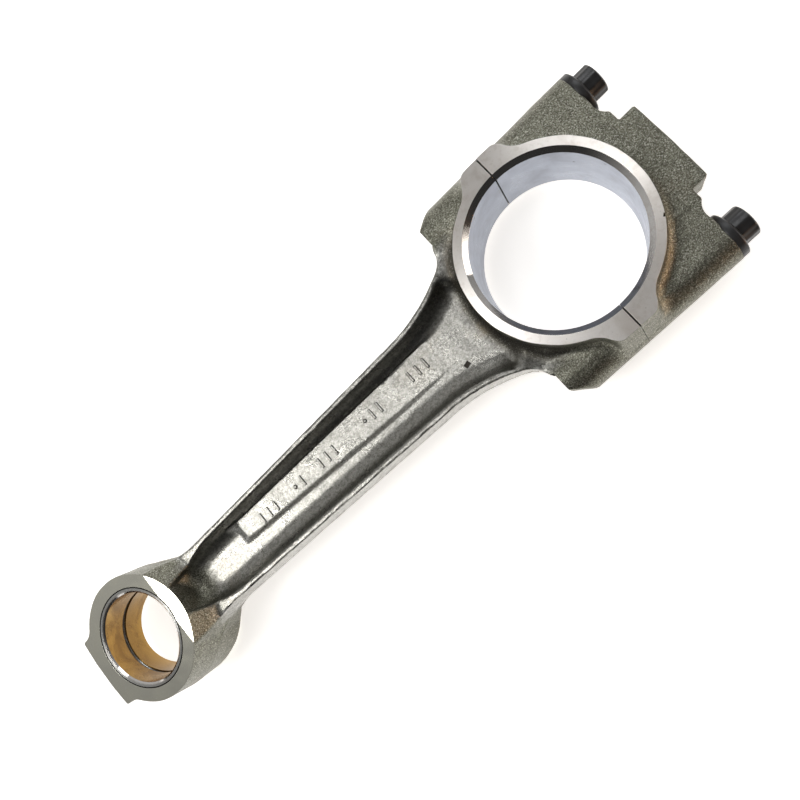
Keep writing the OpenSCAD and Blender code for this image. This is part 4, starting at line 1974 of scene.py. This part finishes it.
@dataclass
class BearingCap(Forging):
    """The bearing cap, with its screw seats and the milled scallops beside its balance pad.

    Attributes:
        scallops: Centre along X, centre along Y and radius of each scallop, in millimetres.
        seat_r: Radius of the screw seats.
        nick: Place of a small handling nick on the ring's edge.
    """

    scallops: tuple[Point, ...] = ((-69.6, 33.9, 9.5), (-66.0, 37.6, 8.7))
    seat_r: float = 13.2
    nick: tuple[float, float] = (-41.6, 26.1)

    def build(self) -> Thing:
        """Builds the piece.

        Returns:
            The finished object.
        """
        s, f = self.sizes, self.finishes
        shape = CapShape(s, BigEndShape(s), Ripple(seed=11))
        xs = grid_line([(-s.crown_x - 2, 1.0 * self.coarse)], 2.4)
        piece = self.skin("bearing_cap_skin", shape.at, xs, s.big_half + 2.4)
        self.machine_big_end(piece, -1)
        for side in Side:
            for x, y, radius in self.scallops:
                origin = (x, y * side.value, 0)
                cut(piece, Turned(drum(-20, 20, radius), Axis.Z, origin, 96).build(), f.milled)
            origin = (-s.seat_x, side.value * s.screw_y, 0)
            cut(piece, Turned(drum(-16, 0, self.seat_r), Axis.X, origin, 96).build(), f.seat)
        place = (*self.nick, s.big_half)
        nick = box_cutter((-0.9, -0.5, -0.9), (0.9, 0.5, 0.9), turned_by(40, "Z"), place)
        cut(piece, nick, f.gap)
        tidy_mesh(piece)
        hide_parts("bearing_cap")
        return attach(piece, "cap")


@dataclass
class CapScrew:
    """A twelve-point flanged cap screw with a waisted shank and a rolled thread.

    Attributes:
        sizes: The rod's sizes.
        finishes: The shared finishes.
        side: Which of the two screws it is.
        apothem: Half the width across the flats of its head.
        corner: Softness of the head's points and flutes.
        flange_t: Thickness of its flange.
        shank_r: Radius of its guides and of its thread's crests.
        waist_r: Radius of its waists.
        guide: Length of its first guide.
        pitch: Pitch of its thread.
        thread_depth: Depth of its thread.
        segments: Number of steps round it.
    """

    sizes: RodSizes
    finishes: Finishes
    side: Side
    apothem: float = 7.95
    corner: float = 0.22
    flange_t: float = 5.2
    shank_r: float = 7.15
    waist_r: float = 6.3
    guide: float = 10.0
    pitch: float = 1.41
    thread_depth: float = 0.75
    segments: int = 144

    def head_radius(self, turn: Array) -> Array:
        """Radius of the twelve-point head, a union of two hexagons with softened points.

        Args:
            turn: Angles round the screw.

        Returns:
            The radii in millimetres.
        """
        sixth = math.pi / 3
        first = np.abs((turn + sixth / 2) % sixth - sixth / 2)
        second = np.abs(turn % sixth - sixth / 2)
        fold = np.minimum(first, second)
        star = self.apothem / np.cos(sixth / 2 - fold)
        tip = self.apothem / math.cos(sixth / 2) - self.corner * 1.6
        valley = self.apothem / math.cos(sixth / 4) + self.corner * 0.9
        star = -np.log(np.exp(-star / self.corner) + math.exp(-tip / self.corner)) * self.corner
        return soft_max(star, np.full_like(star, valley), self.corner * 2)

    def rings(self) -> list[tuple[float, Array]]:
        """The screw's cross-sections from the head's top to the thread's tip.

        Returns:
            Place along the screw from its seat, and the radius at each angle.
        """
        turn = np.arange(self.segments) * 2 * math.pi / self.segments
        even = np.ones(self.segments)
        head = self.head_radius(turn)
        top = self.sizes.head_x + self.sizes.seat_x
        found = [(top, even * 0.0), (top + 0.02, even * 3.0), (top + 0.12, even * 5.2)]
        for drop, inset in ((0.32, 1.3), (0.6, 0.7), (1.0, 0.25), (1.5, 0.0)):
            limit = even * (self.apothem - inset + 0.9)
            found.append((top + drop, np.minimum(head, limit) if inset else head))
        foot = -self.flange_t
        found += [(foot - 0.7, head), (foot - 0.2, head + 0.15), (foot, head + 0.55)]
        rim = self.sizes.flange_r
        found += [(foot + 0.03, even * (self.apothem + 2.1)), (foot + 0.75, even * (rim - 0.7))]
        found += [(foot + 1.15, even * (rim - 0.15)), (foot + 1.5, even * rim), (-0.7, even * rim)]
        found += [(-0.25, even * (rim - 0.15)), (0.0, even * (rim - 0.7))]
        found += [(0.0, even * (self.shank_r + 0.5)), (0.4, even * self.shank_r)]
        found += [(self.guide - 0.6, even * self.shank_r)]
        mid, start = self.sizes.seat_x - 8, self.sizes.seat_x + 7
        found += [(self.guide + 0.4, even * self.waist_r), (mid - 0.6, even * self.waist_r)]
        found += [(mid + 0.4, even * self.shank_r), (start - 0.4, even * self.shank_r)]
        found += [(start + 0.4, even * self.waist_r), (start + 1.6, even * self.waist_r)]
        tip = self.sizes.screw_tip_x + self.sizes.seat_x
        for along in np.arange(start + 2.0, tip - 0.1, self.pitch / 8):
            phase = (along / self.pitch - turn / (2 * math.pi)) % 1.0
            crest = np.clip(np.abs(phase - 0.5) * 2.6 - 0.25, 0, 1)
            root = self.thread_depth * (1 - crest)
            lead = min(1.0, max(0.0, (tip - along) / 1.6))
            found.append((along, (self.shank_r - root) * even - (1 - lead) * 0.9))
        found += [(tip, even * (self.shank_r - 1.5)), (tip, even * 0.0)]
        return found

    def build(self) -> Thing:
        """Builds the piece.

        Returns:
            The finished object.
        """
        name = f"cap_screw_{self.side.name.lower()}"
        points: list[Point] = []
        faces = joined([add_ring(points, *ring) for ring in self.rings()], self.segments)
        shift = np.array([-self.sizes.seat_x, self.side.value * self.sizes.screw_y, 0.0])
        piece = outward(make_mesh(name + "_turned", np.array(points) + shift, faces))
        piece.data.materials.append(self.finishes.oxide)
        tidy_mesh(piece, 38.0)
        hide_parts(name)
        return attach(piece, f"screw_{self.side.name.lower()}")


@dataclass
class Dowel:
    """A ground locating dowel, pressed into the cap.

    Attributes:
        sizes: The rod's sizes.
        finishes: The shared finishes.
        side: Which of the two dowels it is.
        tip: Length of the rounded lead at its free end.
        foot: Width of the chamfer at its pressed end.
    """

    sizes: RodSizes
    finishes: Finishes
    side: Side
    tip: float = 0.6
    foot: float = 0.3

    def build(self) -> Thing:
        """Builds the piece.

        Returns:
            The finished object.
        """
        s = self.sizes
        name = f"dowel_{self.side.name.lower()}"
        half, radius, tip, foot = s.dowel_half, s.dowel_r, self.tip, self.foot
        profile = [(-half, 0), (-half, radius - foot), (-half + foot, radius), (half - tip, radius)]
        profile += [(half - tip * 0.35, radius - tip * 0.3), (half, radius - tip * 1.2), (half, 0)]
        origin = (0, self.side.value * s.screw_y, self.side.value * s.dowel_z)
        piece = outward(Turned(profile, Axis.X, origin, 64).build(name + "_ground"))
        piece.data.materials.append(self.finishes.dowel)
        tidy_mesh(piece)
        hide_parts(name)
        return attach(piece, "cap")


@dataclass
class Bush:
    """One steel-backed bronze bush of the small end: its back and its lining.

    Attributes:
        sizes: The rod's sizes.
        finishes: The shared finishes.
        face: The face that it is pressed in from.
        mouth: Width of the bright chamfer at its mouth.
        lead: Width of the chamfers at its inner end.
    """

    sizes: RodSizes
    finishes: Finishes
    face: Face
    mouth: float = 1.2
    lead: float = 0.25

    def _layer(self, name: str, inner: float, outer: float, finish: Finish) -> Thing:
        """Builds one layer of the bush.

        Args:
            name: Name of the CAD node that it stands for.
            inner: Its inner radius.
            outer: Its outer radius.
            finish: Its finish.

        Returns:
            The finished object.
        """
        s, sign = self.sizes, self.face.value
        start, end = s.bush_gap_half * sign, (s.eye_half + 3) * sign
        led = start + self.lead * sign
        profile = [(start, inner + self.lead), (start, outer - self.lead), (led, outer)]
        profile += [(end, outer), (end, inner), (led, inner)]
        piece = outward(Turned(profile, Axis.Z, (s.centre_distance, 0, 0)).build(name + "_turned"))
        piece.data.materials.append(finish)
        cut(piece, wedge_cutter(s, self.face), self.finishes.bush_steel)
        land = face_cutter(s.eye_half, self.face, s.centre_distance - 60, s.tip_x, 60)
        cut(piece, land, self.finishes.bush_steel)
        lip, above = s.pin_r - 0.4, 0.3
        mouth = [(lip, -self.mouth - 0.4), (s.pin_r + self.mouth + above, above), (lip, above)]
        cut(piece, EdgeRing(s, mouth, self.face).build(), self.finishes.chamfer)
        if outer > s.back_r + 0.1:
            beyond, low, high = s.bush_r + 0.3, -1.3, 0.25
            rim = [(beyond, low), (beyond, high), (s.bush_r - 0.35, high), (s.bush_r - 0.1, -1.1)]
            cut(piece, EdgeRing(s, rim, self.face).build(), self.finishes.gap)
        tidy_mesh(piece)
        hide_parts(name)
        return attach(piece, "rod")

    def build(self) -> list[Thing]:
        """Builds both layers.

        Returns:
            The finished back and lining.
        """
        s, f = self.sizes, self.finishes
        name = self.face.name.lower() + "_bush_"
        back = self._layer(name + "back", s.back_r, s.bush_r, f.bush_steel)
        lining = self._layer(name + "lining", s.pin_r, s.back_r, f.bronze)
        return [back, lining]


# ---------------- studio


@dataclass(frozen=True)
class SoftBox:
    """A square area light.

    Attributes:
        name: Name of the light.
        place: Where it hangs, in metres.
        size: Length of its sides, in metres.
        power: Its power in watts.
        colour: Colour of its light.
    """

    name: str
    place: Point
    size: tuple[float, float]
    power: float
    colour: Colour = (1.0, 1.0, 1.0)

    def build(self, aim: Vector) -> None:
        """Hangs the light and turns it towards a point.

        Args:
            aim: Where it points.
        """
        data = bpy.data.lights.new(self.name, "AREA")
        data.shape = "RECTANGLE"
        data.size, data.size_y = self.size
        data.energy = self.power
        data.color = self.colour
        lamp = bpy.data.objects.new(self.name, data)
        lamp.location = self.place
        lamp.rotation_mode = "QUATERNION"
        lamp.rotation_quaternion = (aim - Vector(self.place)).to_track_quat("-Z", "Y")
        bpy.context.scene.collection.objects.link(lamp)


@dataclass(frozen=True)
class Room:
    """The glow of the room: bright low down, dim overhead and dim behind the worker.

    Attributes:
        overhead: Glow straight above.
        horizon: Glow low down.
        dim: Glow low down in the dim direction.
        dim_way: The dim direction.
        backdrop: Glow of the plain backdrop behind the floor.
        colour: Colour of the glow.
    """

    overhead: float = 0.24
    horizon: float = 0.62
    dim: float = 0.04
    dim_way: Point = (0.17, 0.985, 0.0)
    backdrop: float = 0.95
    colour: Colour = (1.0, 0.99, 0.97)

    def build(self) -> bpy.types.World:
        """Makes the world.

        Returns:
            The world.
        """
        world = bpy.data.worlds.new("room")
        world.use_nodes = True
        tree = world.node_tree
        glow = tree.nodes["Background"]
        glow.inputs["Color"].default_value = (*self.colour, 1.0)
        way = tree.nodes.new("ShaderNodeTexCoord").outputs["Generated"]
        height = tree.nodes.new("ShaderNodeSeparateXYZ")
        tree.links.new(way, height.inputs[0])
        along = tree.nodes.new("ShaderNodeVectorMath")
        along.operation = "DOT_PRODUCT"
        along.inputs[1].default_value = self.dim_way
        tree.links.new(way, along.inputs[0])
        low = self._ramp(tree, along.outputs["Value"], -0.6, 0.6, self.horizon, self.dim)
        share = self._ramp(tree, height.outputs[2], 0.60, 0.95, 0.0, 1.0)
        mix = tree.nodes.new("ShaderNodeMix")
        tree.links.new(share, mix.inputs[0])
        tree.links.new(low, mix.inputs[2])
        mix.inputs[3].default_value = self.overhead
        seen = tree.nodes.new("ShaderNodeMix")
        tree.links.new(tree.nodes.new("ShaderNodeLightPath").outputs["Is Camera Ray"], seen.inputs[0])
        tree.links.new(mix.outputs[0], seen.inputs[2])
        seen.inputs[3].default_value = self.backdrop
        tree.links.new(seen.outputs[0], glow.inputs["Strength"])
        return world

    @staticmethod
    def _ramp(tree: bpy.types.NodeTree, value: Socket, *ends: float) -> Socket:
        """A smooth change of a value between two ends.

        Args:
            tree: The world's nodes.
            value: What drives the change.
            ends: Where it starts and ends, and the results there.

        Returns:
            The result.
        """
        node = tree.nodes.new("ShaderNodeMapRange")
        node.interpolation_type = "SMOOTHSTEP"
        tree.links.new(value, node.inputs[0])
        for socket, number in zip(node.inputs[1:5], ends):
            socket.default_value = number
        return node.outputs[0]


@dataclass
class Studio:
    """The pale floor, the soft lights and the camera.

    Attributes:
        sizes: The rod's sizes.
        eye_mm: Where the camera stands.
        aim_mm: Where it looks, on the rod's mid plane.
        up: The way that is up in its view.
        lens_mm: Its focal length.
        shift: Its lens shift along the view's width and height.
        floor_colour: Colour of the floor.
        floor_glow: How much the floor glows by itself, like a lit table.
    """

    sizes: RodSizes
    eye_mm: Point = (31.06, 77.25, 424.76)
    aim_mm: Point = (121.753, -12.847, 0.0)
    up: Point = (-0.67745, -0.73548, 0.01136)
    lens_mm: float = 37.278
    shift: tuple[float, float] = (0.03486, -0.00495)
    floor_colour: Colour = (0.93, 0.93, 0.93)
    floor_glow: float = 0.72

    def build(self) -> None:
        """Sets up the whole studio."""
        self._camera()
        self._floor()
        self._lights()

    def _camera(self) -> None:
        """Stands the camera."""
        data = bpy.data.cameras.new("camera")
        data.sensor_width = 36.0
        data.lens = self.lens_mm
        data.shift_x, data.shift_y = self.shift
        data.clip_start, data.clip_end = 0.01, 20.0
        data.dof.use_dof = False
        camera = bpy.data.objects.new("camera", data)
        eye = Vector(self.eye_mm) * MM
        forward = (Vector(self.aim_mm) * MM - eye).normalized()
        right = forward.cross(Vector(self.up)).normalized()
        above = right.cross(forward)
        turn = Matrix((right, above, -forward)).transposed()
        camera.matrix_world = Matrix.Translation(eye) @ turn.to_4x4()
        bpy.context.scene.collection.objects.link(camera)
        bpy.context.scene.camera = camera

    def _floor(self) -> None:
        """Lays the floor just below the rod."""
        half = 3000.0
        level = -self.sizes.eye_half - 0.3
        corners = [(x, y, level) for x, y in ((-half, -half), (half, -half), (half, half), (-half, half))]
        floor = make_mesh("floor", np.array(corners), [(0, 1, 2, 3)])
        n = Nodes("pale_floor")
        colour = n.mix(n.noise(3.0), self.floor_colour, tuple(0.985 * c for c in self.floor_colour))
        grain = n.noise(900.0, 2, 0.5)
        n.finish(colour, n.band(grain, 0.3, 0.7, 0.6, 0.7), n.bump(grain, 0.01, 0.3), metallic=0.0)
        n.shader.inputs["Emission Color"].default_value = (1.0, 0.97, 0.93, 1.0)
        n.shader.inputs["Emission Strength"].default_value = self.floor_glow
        floor.data.materials.append(n.material)

    def _lights(self) -> None:
        """Hangs the soft boxes round the rod."""
        scene = bpy.context.scene
        scene.world = Room().build()
        scene.view_settings.view_transform = "Standard"
        scene.view_settings.look = "None"
        aim = Vector((0.12, 0.0, 0.0))
        boxes = (
            SoftBox("key", (0.86, -0.16, 1.18), (0.42, 0.42), 5.8, (1.0, 0.99, 0.97)),
            SoftBox("window", (-0.70, -0.92, 1.10), (0.7, 0.7), 5.0, (0.96, 0.98, 1.0)),
            SoftBox("overhead", (0.30, -0.22, 1.45), (0.50, 0.35), 2.5, (1.0, 1.0, 1.0)),
            SoftBox("warm_bounce", (-0.64, 0.64, 0.05), (0.42, 0.07), 1.5, (1.0, 0.56, 0.28)),
            SoftBox("far_window", (-1.20, 0.64, 0.19), (0.80, 0.22), 2.0, (1.0, 0.93, 0.85)),
        )
        for box in boxes:
            box.build(aim)


def main() -> None:
    """Builds the rod, piece by piece, and its studio."""
    logging.basicConfig(level=logging.INFO, format="%(name)s: %(message)s")
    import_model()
    sizes = RodSizes.from_frame()
    finishes = Finishes(sizes)
    coarse = 1.0
    pieces = [RodForging(sizes, finishes, coarse).build(), BearingCap(sizes, finishes, coarse).build()]
    for side in Side:
        pieces.append(CapScrew(sizes, finishes, side).build())
        pieces.append(Dowel(sizes, finishes, side).build())
    for face in Face:
        pieces += Bush(sizes, finishes, face).build()
    for piece in pieces:
        LOG.info("%s: %d faces", piece.name, len(piece.data.polygons))
    Studio(sizes).build()


if __name__ == "__main__":
    main()
